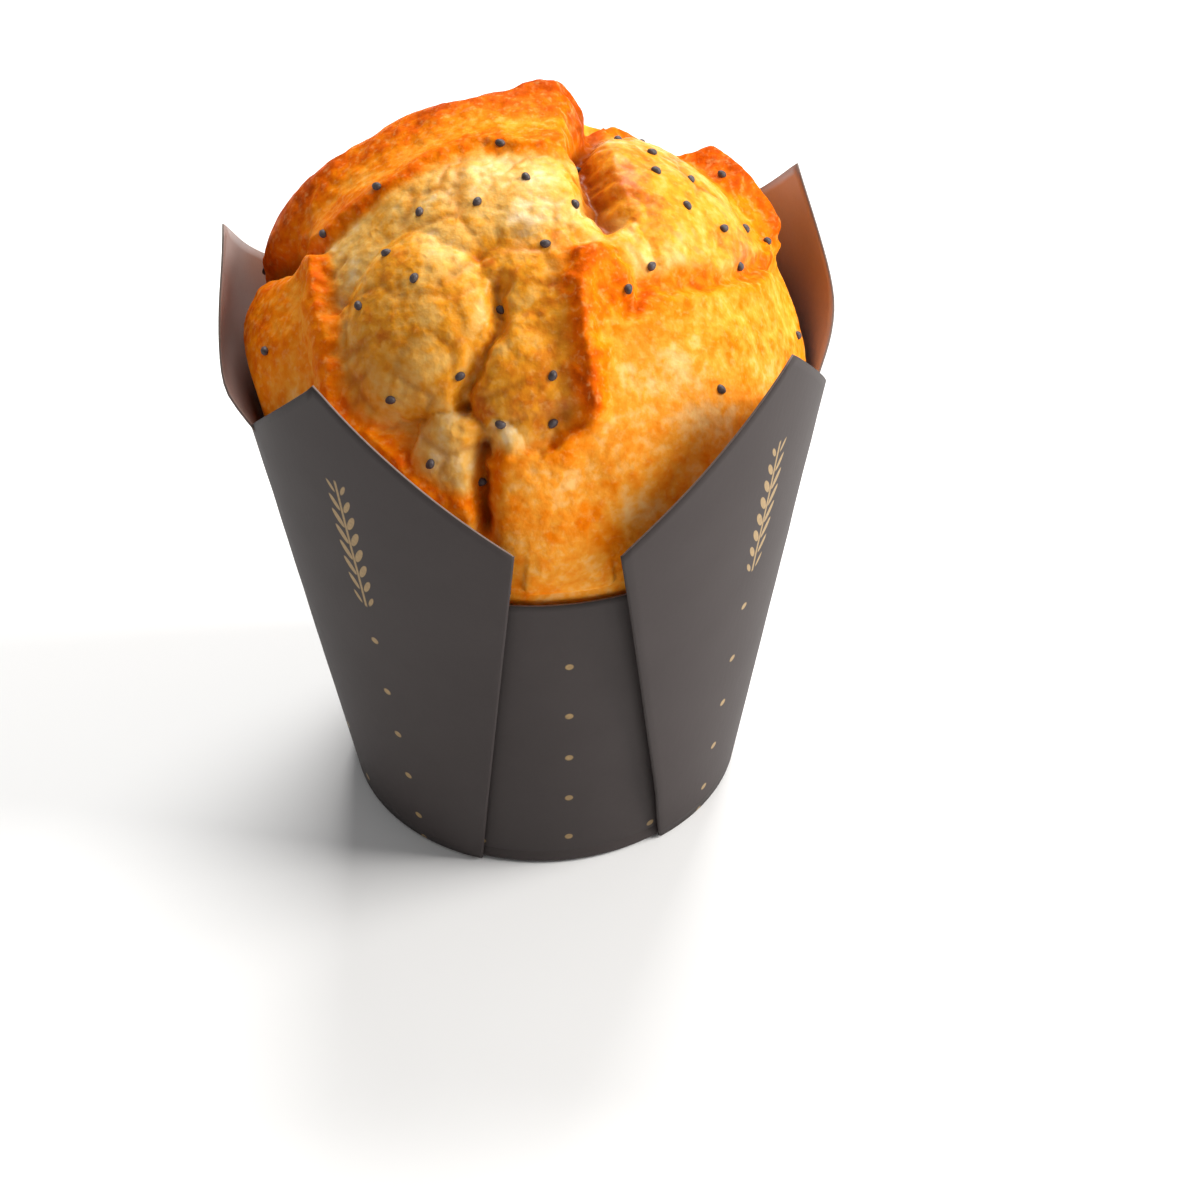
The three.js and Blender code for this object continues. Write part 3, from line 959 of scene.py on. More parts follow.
    def _add_foot(self, bm: Mesh) -> None:
        """Adds the flat bottom with its rounded heel inside the flaps.

        Args:
            bm: The mesh that gets it.
        """
        uv_layer = bm.loops.layers.uv["sheet"]
        lift, radius = self.foot_lift, self.wall.base_radius
        middle = radius * self.foot_middle
        profile = [Vector((0.0, -middle, lift)), Vector((0.0, -(radius - self.foot_inset), lift))]
        for step in range(self.heel_steps + 1):
            angle = math.radians(90 * step / self.heel_steps)
            out = radius - self.heel_inset + self.heel_radius * math.sin(angle)
            profile.append(Vector((0.0, -out, lift + self.heel_radius * (1 - math.cos(angle)))))
        profile.append(self.wall.point(0.0, self.heel_top, self.panel_depth + self.heel_gap))
        verts = [bm.verts.new(point) for point in profile]
        edges = [bm.edges.new(pair) for pair in zip(verts, verts[1:])]
        petals = set(bm.faces)
        bmesh.ops.spin(
            bm, geom=verts + edges, cent=(0, 0, 0), axis=(0, 0, 1), dvec=(0, 0, 0), angle=math.tau,
            steps=self.foot_segments, use_merge=True, use_normal_flip=False, use_duplicate=False,
        )
        rim = [edge for edge in bm.edges if edge.is_boundary and all(
            abs(vert.co.xy.length - middle) < lift / 2 for vert in edge.verts
        )]
        bmesh.ops.holes_fill(bm, edges=rim, sides=0)
        foot = [face for face in bm.faces if face not in petals]
        bmesh.ops.recalc_face_normals(bm, faces=foot)
        lowest = min(foot, key=lambda face: face.calc_center_median().z)
        if lowest.normal.z > 0:
            bmesh.ops.reverse_faces(bm, faces=foot)
        for loop in (loop for face in foot for loop in face.loops):
            x, y, _ = loop.vert.co / self.finish.print_width
            loop[uv_layer].uv = (0.5 - y, 0.5 + x)

    def build(self, effects: SharedEffects) -> bpy.types.Object:
        """Makes the case.

        Args:
            effects: The shared node groups.

        Returns:
            The finished piece.
        """
        bm = bmesh.new()
        bm.loops.layers.uv.new("sheet")
        for patch in self._patches():
            self._add_patch(bm, patch)
        self._add_foot(bm)
        piece = object_from(bm, "folded_paper_case")
        wall = piece.modifiers.new("paper", "SOLIDIFY")
        wall.thickness = self.paper * MM
        wall.offset = -1.0
        wall.material_offset = 1
        wall.material_offset_rim = 2
        for coat in (Coat.OUTSIDE, Coat.INSIDE, Coat.CUT_EDGE):
            piece.data.materials.append(self.finish.material(coat, effects))
        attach(piece, "root")
        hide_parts("paper_case")
        return piece


@dataclass(frozen=True)
class Lump:
    """A rounded swelling on the dome."""

    name: str
    at: Place
    size: Place
    turn: float
    height: float
    bake: float

    def reach(self, across: np.ndarray, back: np.ndarray) -> np.ndarray:
        """Measures how far places lie from the lump's middle.

        Args:
            across: Degrees of arc towards +X.
            back: Degrees of arc towards +Y.

        Returns:
            0 in the middle and 1 at the outline.
        """
        turn = math.radians(self.turn)
        x = across - self.at[0]
        y = back - self.at[1]
        u = (x * math.cos(turn) + y * math.sin(turn)) / self.size[0]
        v = (y * math.cos(turn) - x * math.sin(turn)) / self.size[1]
        return u * u + v * v


@dataclass(frozen=True)
class Run:
    """A smooth line through places on the dome, with a width and a height or depth."""

    closest: ClassVar[float] = 1e-4
    name: str
    along: tuple[Place, ...]
    width: float = 1.0
    height: float = 0.0
    closed: bool = False
    bake: float = 0.0

    def points(self, steps: int = 8) -> np.ndarray:
        """Draws the line as a centripetal spline.

        Args:
            steps: Points to each place that it goes through.

        Returns:
            The points, one row each.
        """
        places = [np.array(place, float) for place in self.along]
        count = len(places)
        found = []
        for span in range(count if self.closed else count - 1):
            p1 = places[span]
            p2 = places[(span + 1) % count]
            p0 = places[span - 1] if self.closed or span > 0 else 2 * p1 - p2
            p3 = places[(span + 2) % count] if self.closed or span + 2 < count else 2 * p2 - p1
            pairs = ((p0, p1), (p1, p2), (p2, p3))
            d0, d1, d2 = (max(self.closest, math.sqrt(np.linalg.norm(b - a))) for a, b in pairs)
            t1 = ((p1 - p0) / d0 - (p2 - p0) / (d0 + d1) + (p2 - p1) / d1) * d1
            t2 = ((p2 - p1) / d1 - (p3 - p1) / (d1 + d2) + (p3 - p2) / d2) * d1
            for t in np.arange(steps) / steps:
                cubic = 2 * (p1 - p2) + t1 + t2
                found.append(p1 + t1 * t + (3 * (p2 - p1) - 2 * t1 - t2) * t**2 + cubic * t**3)
        found.append(places[0] if self.closed else places[-1])
        return np.array(found)

    def distance(self, across: np.ndarray, back: np.ndarray) -> np.ndarray:
        """Measures how far places lie from the line.

        Args:
            across: Degrees of arc towards +X.
            back: Degrees of arc towards +Y.

        Returns:
            The distances.
        """
        points = self.points()
        best = np.full(across.shape, np.inf)
        for start, end in zip(points, points[1:]):
            x, y = end - start
            share = ((across - start[0]) * x + (back - start[1]) * y) / max(self.closest**2, x * x + y * y)
            share = np.clip(share, 0, 1)
            best = np.minimum(best, np.hypot(across - start[0] - x * share, back - start[1] - y * share))
        return best

    def holds(self, across: np.ndarray, back: np.ndarray) -> np.ndarray:
        """Tells which places lie inside a closed line.

        Args:
            across: Degrees of arc towards +X.
            back: Degrees of arc towards +Y.

        Returns:
            True for each place that does.
        """
        points = self.points()
        inside = np.zeros(across.shape, bool)
        for start, end in zip(points, points[1:]):
            if start[1] != end[1]:
                crosses = (start[1] > back) != (end[1] > back)
                side = start[0] + (end[0] - start[0]) * (back - start[1]) / (end[1] - start[1])
                inside ^= crosses & (across < side)
        return inside


CRUST_TEAR = Run("crust tear", (
    (-46, -6), (-41, -14), (-40, -31), (-40, -46), (-31, -58), (-20, -69), (-10, -73),
    (-7, -66), (6, -61), (13, -54), (10, -38), (8, -28), (14, -24), (21, -31),
    (28, -26), (40, -18), (53, -5), (54, 9), (43, 17), (33, 26), (20, 31),
    (12, 24), (11, 12), (7, 1), (-6, 1), (-18, -2), (-33, -5),
), closed=True)

CRUMB_LUMPS = (
    Lump("left lobe", (-24, -35), (21, 20), 25, 3.9, 0.54),
    Lump("upper crumb", (-14, -11), (23, 14), 10, 2.7, 0.42),
    Lump("upper left crumb", (-32, -15), (15, 10), 15, 2.2, 0.4),
    Lump("top crumb", (3, -11), (14, 15), 0, 3.0, 0.36),
    # The middle crumb's high bake is partly its tone and partly painted shade, left of the centre ridge.
    Lump("middle crumb", (4, -28), (14, 15), 0, 2.7, 0.6),
    Lump("centre chunk", (1, -49), (16, 14), -20, 3.1, 0.7),
    Lump("low left lump", (-18, -60), (9, 8), 30, 2.7, 0.3),
    Lump("low middle lump", (-4, -60), (8, 7), 0, 2.5, 0.32),
    Lump("low front lump", (-16, -68), (8, 9), 20, 2.7, 0.44),
    Lump("back right lobe", (34, -2), (27, 25), 20, 3.0, 0.7),
    Lump("small right crumb", (17, -20), (12, 9), 0, 2.6, 0.5),
    Lump("ridge foot", (10, -41), (13, 22), -8, 2.8, 0.72),
)

CRUST_SWELLINGS = (
    Lump("left shoulder", (-70, -10), (24, 26), 0, 2.0, 0.28),
    Lump("right shoulder", (44, -52), (34, 30), 40, 1.0, -0.2),
    Lump("front shoulder", (6, -84), (22, 18), 0, 0.6, -0.1),
    Lump("front edge", (2, -68), (18, 12), 0, 0.0, -0.1),
    Lump("lip tip", (5, 18), (8, 5), 10, 1.1, 0.25),
    Lump("back dip", (25, 28), (24, 20), 0, -1.5, 0.1),
    Lump("left back shoulder", (-48, 18), (20, 14), 0, 1.0, 0.3),
)

RIDGES = (
    Run("back lip", ((-60, 9), (-44, 13), (-26, 15), (-12, 16), (1, 18), (7, 19)), 8.0, 2.4, bake=0.42),
    Run("right flake", ((37, 26), (43, 22), (49, 19), (57, 15)), 2.8, 3.2, bake=0.55),
    Run("centre ridge", ((15, -52), (12, -40), (10, -31), (12, -25)), 4.0, 1.4, bake=0.18),
    Run("left ridge", ((-42, -14), (-43, -32), (-42, -46)), 4.0, 1.0, bake=0.05),
)

CLEFTS = (
    Run("middle cleft", ((-4, -30), (-5, -38), (-9, -45), (-13, -54)), 1.6, 1.9),
    Run("low crease", ((-10, -77), (-8.5, -70), (-8.5, -63)), 2.9, 3.4),
    Run("back gap", ((13, 34), (12, 14), (13, -6), (16, -15)), 3.0, 3.4),
    Run("left gap", ((-80, 14), (-62, 6), (-49, -3)), 4.0, 3.0),
    Run("right crease", ((20, -34), (28, -27), (40, -19), (64, 10)), 2.2, 1.6),
)


@dataclass(frozen=True)
class Relief:
    """How high each kind of small relief stands on a surface."""

    swell: float
    knobs: float
    grains: float
    beads: float
    rough: float
    crease: float


CRUST_RELIEF = Relief(swell=0.3, knobs=0.25, grains=0.1, beads=0.09, rough=0.0, crease=0.0)
CRUMB_RELIEF = Relief(swell=0.0, knobs=0.4, grains=0.16, beads=0.14, rough=0.03, crease=-0.18)


@dataclass
class Surface:
    """What the dome is like at many places at once."""

    radius: np.ndarray
    crumb: np.ndarray
    bake: np.ndarray
    # Painted shade: how much shade colour the hollows and creases get.
    recess_shade: np.ndarray


@dataclass
class Dome:
    """The cracked dome round its own centre.

    A scatter or a cloud is a pair: its size, and a shift that makes it its own.
    """

    centre: Triple = (-0.8, 1.5, 53.0)
    side_radius: float = 34.3
    top_radius: float = 37.0
    drop: float = 2.3
    drop_width: float = 2.2
    curl: float = 0.9
    curl_width: float = 5.0
    roundness: float = 0.5
    swelling_softness: float = 1.4
    wander_sizes: Triple = (8.0, 2.8, 1.3)
    wander_starts: tuple[Place, ...] = ((3.0, 11.0), (5.0, 17.0), (47.0, 53.0))
    edge_wander: Triple = (2.4, 1.0, 0.9)
    lump_wander: Triple = (4.2, 0.8, 0.7)
    crumb_from: Place = (1.0, 4.5)
    # Depths below the smoothed dome over which the painted shade in hollows grows to full.
    recess_shade_from: Place = (0.9, 3.8)
    hollow_drop: float = 0.5
    crust_bake: float = 0.43
    crumb_bake: float = 0.66
    edge_bake: float = 0.24
    edge_bake_width: float = 3.5
    lump_bake_from: Place = (0.1, 0.6)
    knob_scatter: Place = (6.5, 2.0)
    grain_scatter: Place = (2.4, 7.0)
    bead_scatter: Place = (1.15, 13.0)
    swell_cloud: Place = (9.0, 31.0)
    rough_cloud: Place = (1.1, 23.0)
    crease_cloud: Place = (6.0, 41.0)
    crease_from: Place = (-0.15, 0.25)
    middling: float = 0.45
    # Painted light and shade on the crumb's knobs: paler on their tops, darker in the seams between them.
    knob_shade: float = 0.3
    knob_shade_from: float = 0.42
    swell_bake: Place = (0.1, 0.12)
    crease_width: float = 0.1
    # How much painted shade the crumb's creases add to the shade of the hollows.
    crease_shade: float = 0.36
    relief_sink: float = 0.34

    def directions(self, across: np.ndarray, back: np.ndarray) -> np.ndarray:
        """Finds the directions from the dome's centre to places on it.

        Args:
            across: Degrees of arc towards +X.
            back: Degrees of arc towards +Y.

        Returns:
            Unit vectors, one row each.
        """
        polar = np.radians(np.hypot(across, back))
        angle = np.arctan2(across, -back)
        side = np.sin(polar)
        return np.stack([side * np.sin(angle), -side * np.cos(angle), np.cos(polar)], axis=1)

    def clouds(self, points: np.ndarray, size: float, start: float) -> np.ndarray:
        """Returns smooth noise, -1 to 1, at points in millimetres."""
        shift = Vector((start, start * 1.7, start * 0.3))
        return np.array([noise.noise(Vector(point) / size + shift) for point in points])

    def cells(self, points: np.ndarray, size: float, start: float) -> tuple[np.ndarray, np.ndarray]:
        """Scatters places and measures how points lie among them.

        Args:
            points: Points in millimetres.
            size: Usual distance between the scattered places.
            start: Shift that gives another scatter.

        Returns:
            Distances from the nearest place, and how much nearer it is than the next.
        """
        shift = Vector((start, start * 1.3, start * 0.7))
        near = np.array([noise.voronoi(Vector(point) / size + shift)[0][:2] for point in points])
        return near[:, 0], near[:, 1] - near[:, 0]

    def plain(self, polar: np.ndarray) -> np.ndarray:
        """Returns the radius of the uncracked dome."""
        return 1 / np.hypot(np.sin(polar) / self.side_radius, np.cos(polar) / self.top_radius)

    def _strays(self, points: np.ndarray) -> list[tuple[np.ndarray, np.ndarray]]:
        """Returns two noises at each size of wander, widest first."""
        return [
            (self.clouds(points, size, first), self.clouds(points, size, second))
            for size, (first, second) in zip(self.wander_sizes, self.wander_starts)
        ]

    def _crust(self, x: np.ndarray, y: np.ndarray, plain: np.ndarray) -> tuple[np.ndarray, np.ndarray]:
        """Raises the crust's swellings and ridges.

        Args:
            x: Degrees of arc towards +X.
            y: Degrees of arc towards +Y.
            plain: Radius of the uncracked dome.

        Returns:
            The crust's radius and how baked it is.
        """
        crust = plain.copy()
        bake = np.full(plain.shape, self.crust_bake)
        for swelling in CRUST_SWELLINGS:
            share = np.clip(1 - swelling.reach(x, y), 0, 1) ** self.swelling_softness
            crust += swelling.height * share
            bake += swelling.bake * share
        for ridge in RIDGES:
            share = bell(ridge.distance(x, y), ridge.width)
            crust += ridge.height * share
            bake += ridge.bake * share
        return crust, bake

    def _crumb(self, x: np.ndarray, y: np.ndarray, plain: np.ndarray) -> tuple[np.ndarray, np.ndarray]:
        """Raises the lumps of crumb, the highest of which shows.

        Args:
            x: Degrees of arc towards +X.
            y: Degrees of arc towards +Y.
            plain: Radius of the uncracked dome.

        Returns:
            The crumb's radius and how baked it is.
        """
        floor = plain - self.drop
        crumb = floor.copy()
        bake = np.full(plain.shape, self.crumb_bake)
        for lump in CRUMB_LUMPS:
            share = np.clip(1 - lump.reach(x, y), 0, 1) ** self.roundness
            risen = floor + lump.height * share
            higher = risen > crumb
            crumb = np.where(higher, risen, crumb)
            own = ease(*self.lump_bake_from, share)
            bake = np.where(higher, mix(self.crumb_bake, lump.bake, own), bake)
        return crumb, bake

    def _add_relief(self, surface: Surface, points: np.ndarray) -> None:
        """Adds the small relief and colours the surface by it: more baked where it swells, painted light on
        the crumb's knobs with painted shade in their seams, and painted shade in its creases.

        Args:
            surface: The surface to change.
            points: Its places on the uncracked dome.
        """
        is_crumb = surface.crumb
        knobs, seams = self.cells(points, *self.knob_scatter)
        grains, _ = self.cells(points, *self.grain_scatter)
        beads, _ = self.cells(points, *self.bead_scatter)
        swell = self.clouds(points, *self.swell_cloud)
        crease = ease(*self.crease_from, self.clouds(points, *self.crease_cloud))
        crease *= bell(seams, self.crease_width)
        kinds = {
            "swell": swell,
            "knobs": self.middling - knobs,
            "grains": self.middling - grains,
            "beads": self.middling - beads,
            "rough": self.clouds(points, *self.rough_cloud),
            "crease": crease,
        }
        for kind, shape in kinds.items():
            surface.radius += mix(getattr(CRUST_RELIEF, kind), getattr(CRUMB_RELIEF, kind), is_crumb) * shape
        surface.radius -= self.relief_sink
        surface.bake += swell * mix(*self.swell_bake, is_crumb)
        # Painted light on the crumb's knobs and painted shade in their seams.
        surface.bake += self.knob_shade * (knobs - self.knob_shade_from) * is_crumb
        surface.bake = np.clip(surface.bake, 0, 1)
        # Painted shade in the crumb's creases.
        surface.recess_shade = np.clip(surface.recess_shade + self.crease_shade * is_crumb * crease, 0, 1)

    def surface(self, across: np.ndarray, back: np.ndarray) -> Surface:
        """Works out the dome at many places.

        Args:
            across: Degrees of arc towards +X.
            back: Degrees of arc towards +Y.

        Returns:
            The surface there.
        """
        plain = self.plain(np.radians(np.hypot(across, back)))
        points = self.directions(across, back) * plain[:, None]
        strays = self._strays(points)
        x = across + sum(far * stray for far, (stray, _) in zip(self.edge_wander, strays))
        y = back + sum(far * stray for far, (_, stray) in zip(self.edge_wander, strays))
        u = across + sum(far * stray for far, (_, stray) in zip(self.lump_wander, strays))
        v = back + sum(far * stray for far, (stray, _) in zip(self.lump_wander, strays))
        edge = CRUST_TEAR.distance(x, y)
        torn = CRUST_TEAR.holds(x, y)
        crust, crust_bake = self._crust(x, y, plain)
        crumb, crumb_bake = self._crumb(u, v, plain)
        kept = np.exp(-edge / self.drop_width)
        inside = mix(crumb, np.maximum(crust + self.curl, crumb), kept)
        outside = crust + self.curl * bell(edge, self.curl_width)
        radius = np.where(torn, inside, outside)
        # The painted shade in hollows grows with the depth below this smoothed surface.
        smooth = np.where(torn, np.maximum(crumb, plain - self.hollow_drop), outside)
        for cleft in CLEFTS:
            radius -= cleft.height * bell(cleft.distance(x, y), cleft.width)
        is_crumb = ease(*self.crumb_from, np.where(torn, edge, -edge))
        bake = mix(crust_bake + self.edge_bake * bell(edge, self.edge_bake_width), crumb_bake, is_crumb)
        made = Surface(radius, is_crumb, bake, ease(*self.recess_shade_from, smooth - radius))
        self._add_relief(made, points)
        return made


@dataclass
class Muffin:
    """The muffin: its cracked dome, and a body that fills the case."""

    case: PaperCase = field(default_factory=PaperCase)
    dome: Dome = field(default_factory=Dome)
    finish: BakedFinish = field(default_factory=BakedFinish)
    clearance: float = 1.4
    fold_room: float = 0.56
    foot_height: float = 1.5
    foot_rounding: float = 1.6
    body_shares: tuple[float, ...] = (0.0, 0.08, 0.6, 0.7, 1.0)
    body_heights: tuple[float, ...] = (1.0, 0.94, 0.06, 0.0, 0.0)
    lip_height: float = 51.3
    lip_rounding: float = 1.3
    lip_radius: float = 34.7
    lip_gap: float = 0.9
    lip_fade: float = 2.4
    fine_reach: float = 97.0
    dome_reach: float = 90.0
    lowest: float = 94.0
    joining: float = 0.75
    foot_lap: float = 0.02
    subdivisions: int = 6
    fine_cuts: int = 3

    def held_radius(self, z: np.ndarray, azimuth: np.ndarray) -> np.ndarray:
        """Finds how far out the case lets the muffin reach.

        Args:
            z: Heights.
            azimuth: Azimuths in degrees.

        Returns:
            The radii.
        """
        case = self.case
        inner = case.wall.radius_at_height(z) - self.clearance - self.fold_room
        slant = z / math.cos(math.radians(case.wall.lean))
        half = case.wall.azimuth(case.front_right_fold, slant) - case.front_pleat
        from_edge = half - self.lip_gap - np.abs(turn_between(azimuth, case.front_pleat))
        risen = np.sqrt(ease(0, 1, (z - self.lip_height) / self.lip_rounding))
        share = ease(0.0, self.lip_fade, from_edge) * risen
        return mix(inner, np.maximum(inner, self.lip_radius), share)

    def place(self, azimuth: np.ndarray, polar: np.ndarray, radius: np.ndarray) -> np.ndarray:
        """Places dome points and holds them inside the case.

        Args:
            azimuth: Azimuths in degrees.
            polar: Angles from the dome's top, in degrees.
            radius: Distances from the dome's centre.

        Returns:
            The points, one row each.
        """
        points = self.dome.directions(*on_dome(azimuth, polar)) * radius[:, None]
        points += np.array(self.dome.centre)
        reach = np.hypot(points[:, 0], points[:, 1])
        held = self.held_radius(points[:, 2], np.degrees(np.arctan2(points[:, 0], -points[:, 1])))
        points[:, :2] *= np.minimum(1.0, held / np.maximum(reach, 1e-6))[:, None]
        return points

    def _body(self, azimuth: np.ndarray, share: np.ndarray, top: np.ndarray) -> np.ndarray:
        """Places the points below the dome.

        Args:
            azimuth: Azimuths in degrees.
            share: 0 at the dome's lower end, 1 under the middle of the foot.
            top: Points at the dome's lower end, one row each.

        Returns:
            The points, one row each.
        """
        height = mix(self.foot_height, top[:, 2], np.interp(share, self.body_shares, self.body_heights))
        _, joined, heel, foot, _ = self.body_shares
        reach = self.held_radius(height, azimuth)
        reach = mix(np.hypot(top[:, 0], top[:, 1]), reach, ease(0.0, joined * self.joining, share))
        reach -= self.foot_rounding * ease(heel, foot + self.foot_lap, share)
        reach *= 1 - np.clip((share - foot) / (1 - foot), 0, 1)
        angle = np.radians(azimuth)
        return np.stack([reach * np.sin(angle), -reach * np.cos(angle), height], axis=1)

    def build(self, effects: SharedEffects) -> bpy.types.Object:
        """Makes the muffin.

        Args:
            effects: The shared node groups.

        Returns:
            The finished piece.
        """
        bm = bmesh.new()
        bmesh.ops.create_icosphere(bm, subdivisions=self.subdivisions, radius=1.0)
        lowest = math.cos(math.radians(self.fine_reach))
        fine_edges = [edge for edge in bm.edges if min(vert.co.z for vert in edge.verts) > lowest]
        bmesh.ops.subdivide_edges(bm, edges=fine_edges, cuts=self.fine_cuts, use_grid_fill=True)
        bmesh.ops.triangulate(bm, faces=[face for face in bm.faces if len(face.verts) > 3])
        piece = object_from(bm, "muffin_crust_and_crumb")
        mesh = piece.data
        coordinates = np.empty(len(mesh.vertices) * 3)
        mesh.vertices.foreach_get("co", coordinates)
        unit = coordinates.reshape(-1, 3) / MM
        unit /= np.linalg.norm(unit, axis=1)[:, None]
        sphere_polar = np.degrees(np.arccos(np.clip(unit[:, 2], -1, 1)))
        azimuth = np.degrees(np.arctan2(unit[:, 0], -unit[:, 1]))
        polar = np.minimum(sphere_polar, self.dome_reach) * self.lowest / self.dome_reach
        surface = self.dome.surface(*on_dome(azimuth, polar))
        points = self.place(azimuth, polar, surface.radius)
        below = sphere_polar > self.dome_reach
        share = (sphere_polar[below] - self.dome_reach) / (180 - self.dome_reach)
        points[below] = self._body(azimuth[below], share, points[below])
        mesh.vertices.foreach_set("co", (points * MM).ravel())
        # Point attributes: crumb share, bake, and the painted shade of the hollows.
        for name in ("crumb", "bake", "recess_shade"):
            layer = mesh.attributes.new(name, "FLOAT", "POINT")
            layer.data.foreach_set("value", getattr(surface, name).astype(np.float32))
        mesh.update()
        mesh.materials.append(self.finish.material(effects))
        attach(piece, "root")
        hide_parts("muffin")
        return piece


@dataclass
class PoppySeeds:
    """Poppy seeds, each at the most open of a few random places."""

    muffin: Muffin
    finish: SeedFinish = field(default_factory=SeedFinish)
    radius: float = 0.6
    sink: float = 0.1
    shape: Triple = (0.82, 1.08, 0.78)
    bend: float = 0.16
    spin: float = 2.4
    stand: float = 0.3
    in_crumb: int = 36
    in_crust: int = 14
    reach: float = 74.0
    tries: int = 14
    start: int = 20

    def _draws(self) -> Iterator[float]:
        """Draws numbers that are the same each time, by a linear congruence.

        Yields:
            Numbers between 0 and 1.
        """
        factor, step, whole = 1664525, 1013904223, 2**32
        state = self.start
        while True:
            state = (state * factor + step) % whole
            yield state / whole

    def places(self) -> np.ndarray:
        """Finds the seeds' places.

        Returns:
            A row for each seed: azimuth and angle from the dome's top, in degrees.
        """
        draws = self._draws()
        found: list[tuple[float, float]] = []
        taken = np.empty((0, 2))
        for count, in_crumb in ((self.in_crumb, True), (self.in_crust, False)):
            wanted = len(found) + count
            while len(found) < wanted:
                tries = np.array([[next(draws), next(draws)] for _ in range(self.tries)])
                polar = self.reach * np.sqrt(tries[:, 0])
                azimuth = 360 * tries[:, 1]
                spots = np.stack(on_dome(azimuth, polar), axis=1)
                gaps = np.linalg.norm(spots[:, None] - taken[None], axis=2)
                room = gaps.min(axis=1, initial=math.inf)
                room[CRUST_TEAR.holds(spots[:, 0], spots[:, 1]) != in_crumb] = -1.0
                best = int(np.argmax(room))
                if room[best] >= 0:
                    found.append((azimuth[best], polar[best]))
                    taken = np.vstack([taken, spots[best]])
        return np.array(found)

    def build(self, effects: SharedEffects) -> bpy.types.Object:
        """Makes every seed, as one piece.

        Args:
            effects: The shared node groups.

        Returns:
            The finished piece.
        """
        azimuth, polar = self.places().T
        across, back = on_dome(azimuth, polar)
        dome = self.muffin.dome
        spots = self.muffin.place(azimuth, polar, dome.surface(across, back).radius)
        bm = bmesh.new()
        for index, (spot, way) in enumerate(zip(spots, dome.directions(across, back))):
            made = bmesh.ops.create_icosphere(bm, subdivisions=2, radius=self.radius)["verts"]
            for vert in made:
                vert.co.x += self.bend * vert.co.y**2 / self.radius
            bmesh.ops.scale(bm, vec=self.shape, verts=made)
            spin = Matrix.Rotation(index * self.spin, 4, "Z")
            stand = Vector((0, 0, 1)).rotation_difference(Vector(way)).to_matrix().to_4x4()
            out = self.radius * self.stand - self.sink
            place = Matrix.Translation(Vector(spot) + Vector(way) * out)
            bmesh.ops.transform(bm, matrix=place @ stand @ spin, verts=made)
        piece = object_from(bm, "poppy_seeds")
        piece.data.materials.append(self.finish.material(effects))
        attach(piece, "root")
        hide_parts("muffin")
        return piece


@dataclass
class PhotoCamera:
    """The camera that gives the photograph's view."""

    elevation: float = 40.446
    roll: float = 0.872
    distance: float = 398.638
    right_shift: float = 7.486
    up_shift: float = 17.421
    lens: float = 90.0
    sensor: float = 36.0
    nearest: float = 0.01

    def build(self) -> None:
        """Makes the camera and sets it as the scene's own."""
        rise = math.radians(self.elevation)
        roll = math.radians(self.roll)
        right = Vector((1, 0, 0))
        up = Vector((0, math.sin(rise), math.cos(rise)))
        back = Vector((0, -math.cos(rise), math.sin(rise)))
        place = (right * self.right_shift + up * self.up_shift + back * self.distance) * MM
        axis_x = right * math.cos(roll) - up * math.sin(roll)
        axis_y = right * math.sin(roll) + up * math.cos(roll)
        data = bpy.data.cameras.new("photo_camera")
        data.lens = self.lens
        data.sensor_width = self.sensor
        data.clip_start = self.nearest
        camera = bpy.data.objects.new("photo_camera", data)
        turn = Matrix((axis_x, axis_y, back)).transposed().to_4x4()
        camera.matrix_world = Matrix.Translation(place) @ turn
        bpy.context.scene.collection.objects.link(camera)
        bpy.context.scene.camera = camera


@dataclass(frozen=True)
class SoftLight:
    """A square soft light that faces the muffin, in metres and watts."""

    name: str
    place: Triple
    size: float
    power: float
    colour: Triple
    aim: Triple = (0.0, 0.0, 0.05)

    def build(self) -> None:
        """Makes the light."""
        data = bpy.data.lights.new(self.name, "AREA")
        data.shape = "SQUARE"
        data.size = self.size
        data.energy = self.power
        data.color = self.colour
        lamp = bpy.data.objects.new(self.name, data)
        turn = (Vector(self.aim) - Vector(self.place)).to_track_quat("-Z", "Y").to_matrix().to_4x4()
        lamp.matrix_world = Matrix.Translation(Vector(self.place)) @ turn
        bpy.context.scene.collection.objects.link(lamp)


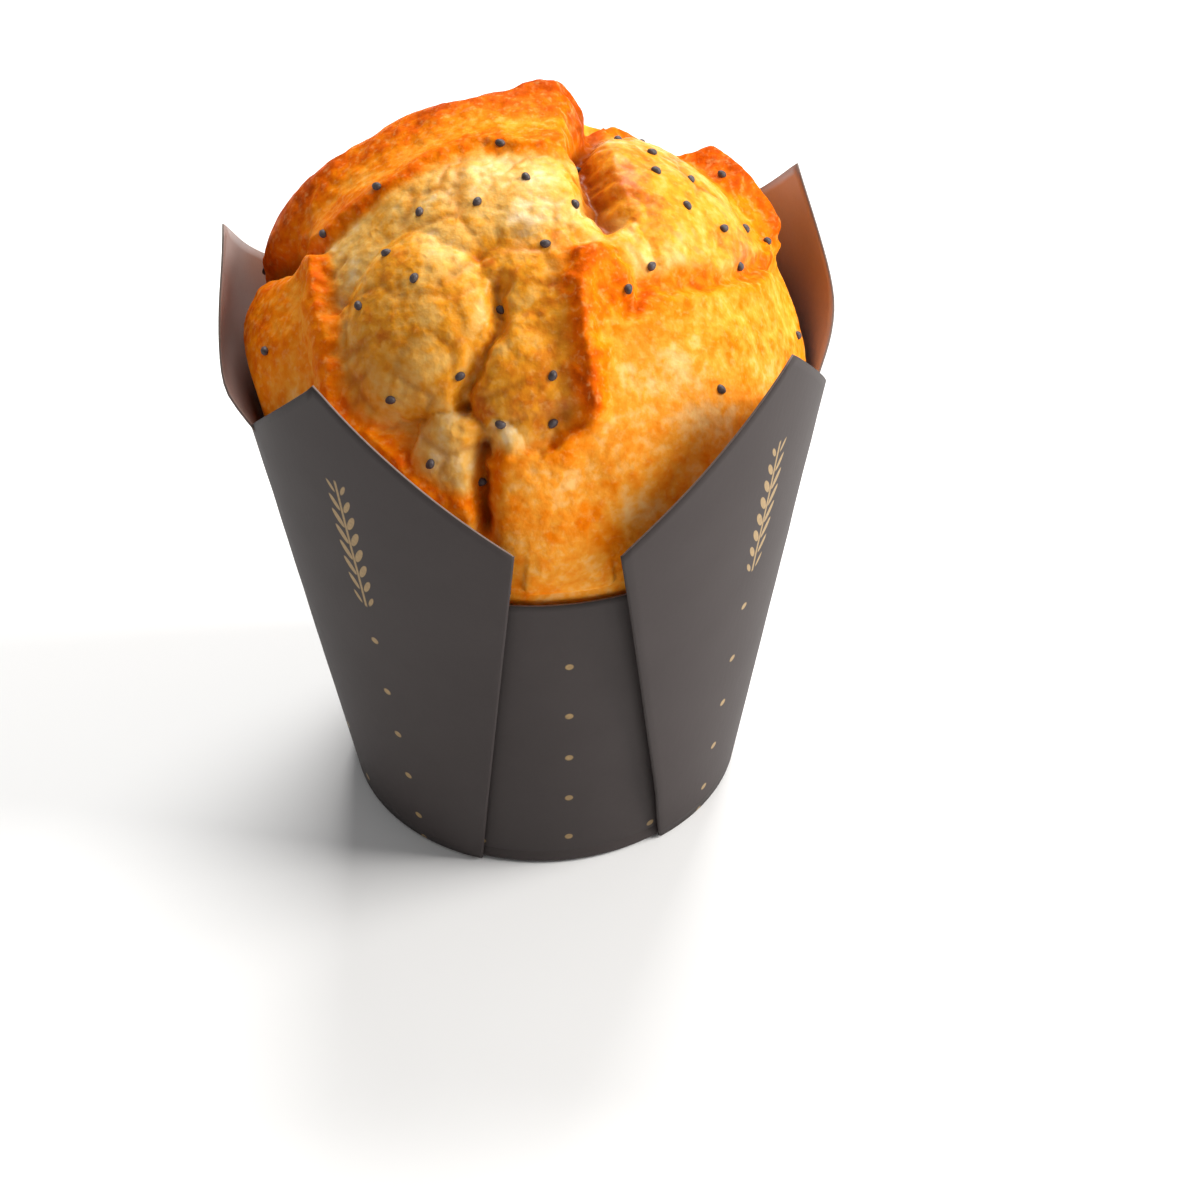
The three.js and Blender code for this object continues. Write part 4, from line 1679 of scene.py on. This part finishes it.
@dataclass
class Studio:
    """A white floor and soft light, mostly from the right and from behind."""

    lights: tuple[SoftLight, ...] = (
        SoftLight("back_light", (0.1, 0.6, 0.8), 0.55, 10.5, (1.0, 0.99, 0.97)),
        SoftLight("right_light", (0.86, -0.06, 0.6), 0.5, 13.7, (1.0, 0.98, 0.95)),
    )
    sky: float = 0.31
    sky_colour: Colour = (1.0, 1.0, 1.0, 1.0)
    floor_size: float = 4.0
    floor_drop: float = 0.00005
    floor_colour: Colour = tone(248, 248, 248)
    floor_cloud: Colour = tone(242, 242, 242)
    floor_cloud_scale: float = 3.0
    floor_cloud_detail: float = 2.0
    floor_cloud_share: float = 0.1
    floor_roughness: float = 0.9
    floor_specular: float = 0.1

    def _floor(self) -> None:
        """Makes the floor, just under the case."""
        bm = bmesh.new()
        bmesh.ops.create_grid(bm, x_segments=1, y_segments=1, size=self.floor_size / 2 / MM)
        floor = object_from(bm, "studio_floor")
        floor.location.z = -self.floor_drop
        coating = Coating("studio_floor")
        graph = coating.graph
        cloud = graph.cloud(coating.place, self.floor_cloud_scale, self.floor_cloud_detail)
        share = graph.times(cloud, self.floor_cloud_share)
        colour = graph.blend(share, self.floor_colour, self.floor_cloud)
        floor.data.materials.append(coating.finish(
            Base_Color=colour, Roughness=self.floor_roughness, Specular_IOR_Level=self.floor_specular,
        ))

    def build(self) -> None:
        """Makes the floor, the lights and the surrounding light."""
        self._floor()
        for light in self.lights:
            light.build()
        world = bpy.data.worlds.new("studio")
        bpy.context.scene.world = world
        world.use_nodes = True
        background = next(node for node in world.node_tree.nodes if node.type == "BACKGROUND")
        background.inputs["Color"].default_value = self.sky_colour
        background.inputs["Strength"].default_value = self.sky


def main() -> None:
    """Builds the scene piece by piece."""
    logging.basicConfig(level=logging.INFO, format="%(name)s: %(message)s")
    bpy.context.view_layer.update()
    PhotoCamera().build()
    Studio().build()
    effects = SharedEffects()
    case = PaperCase()
    muffin = Muffin(case)
    for maker in (case, muffin, PoppySeeds(muffin)):
        piece = maker.build(effects)
        LOG.info("%s: %d faces", piece.name, len(piece.data.polygons))
    bpy.context.scene.view_settings.view_transform = "Standard"


if __name__ == "__main__":
    main()
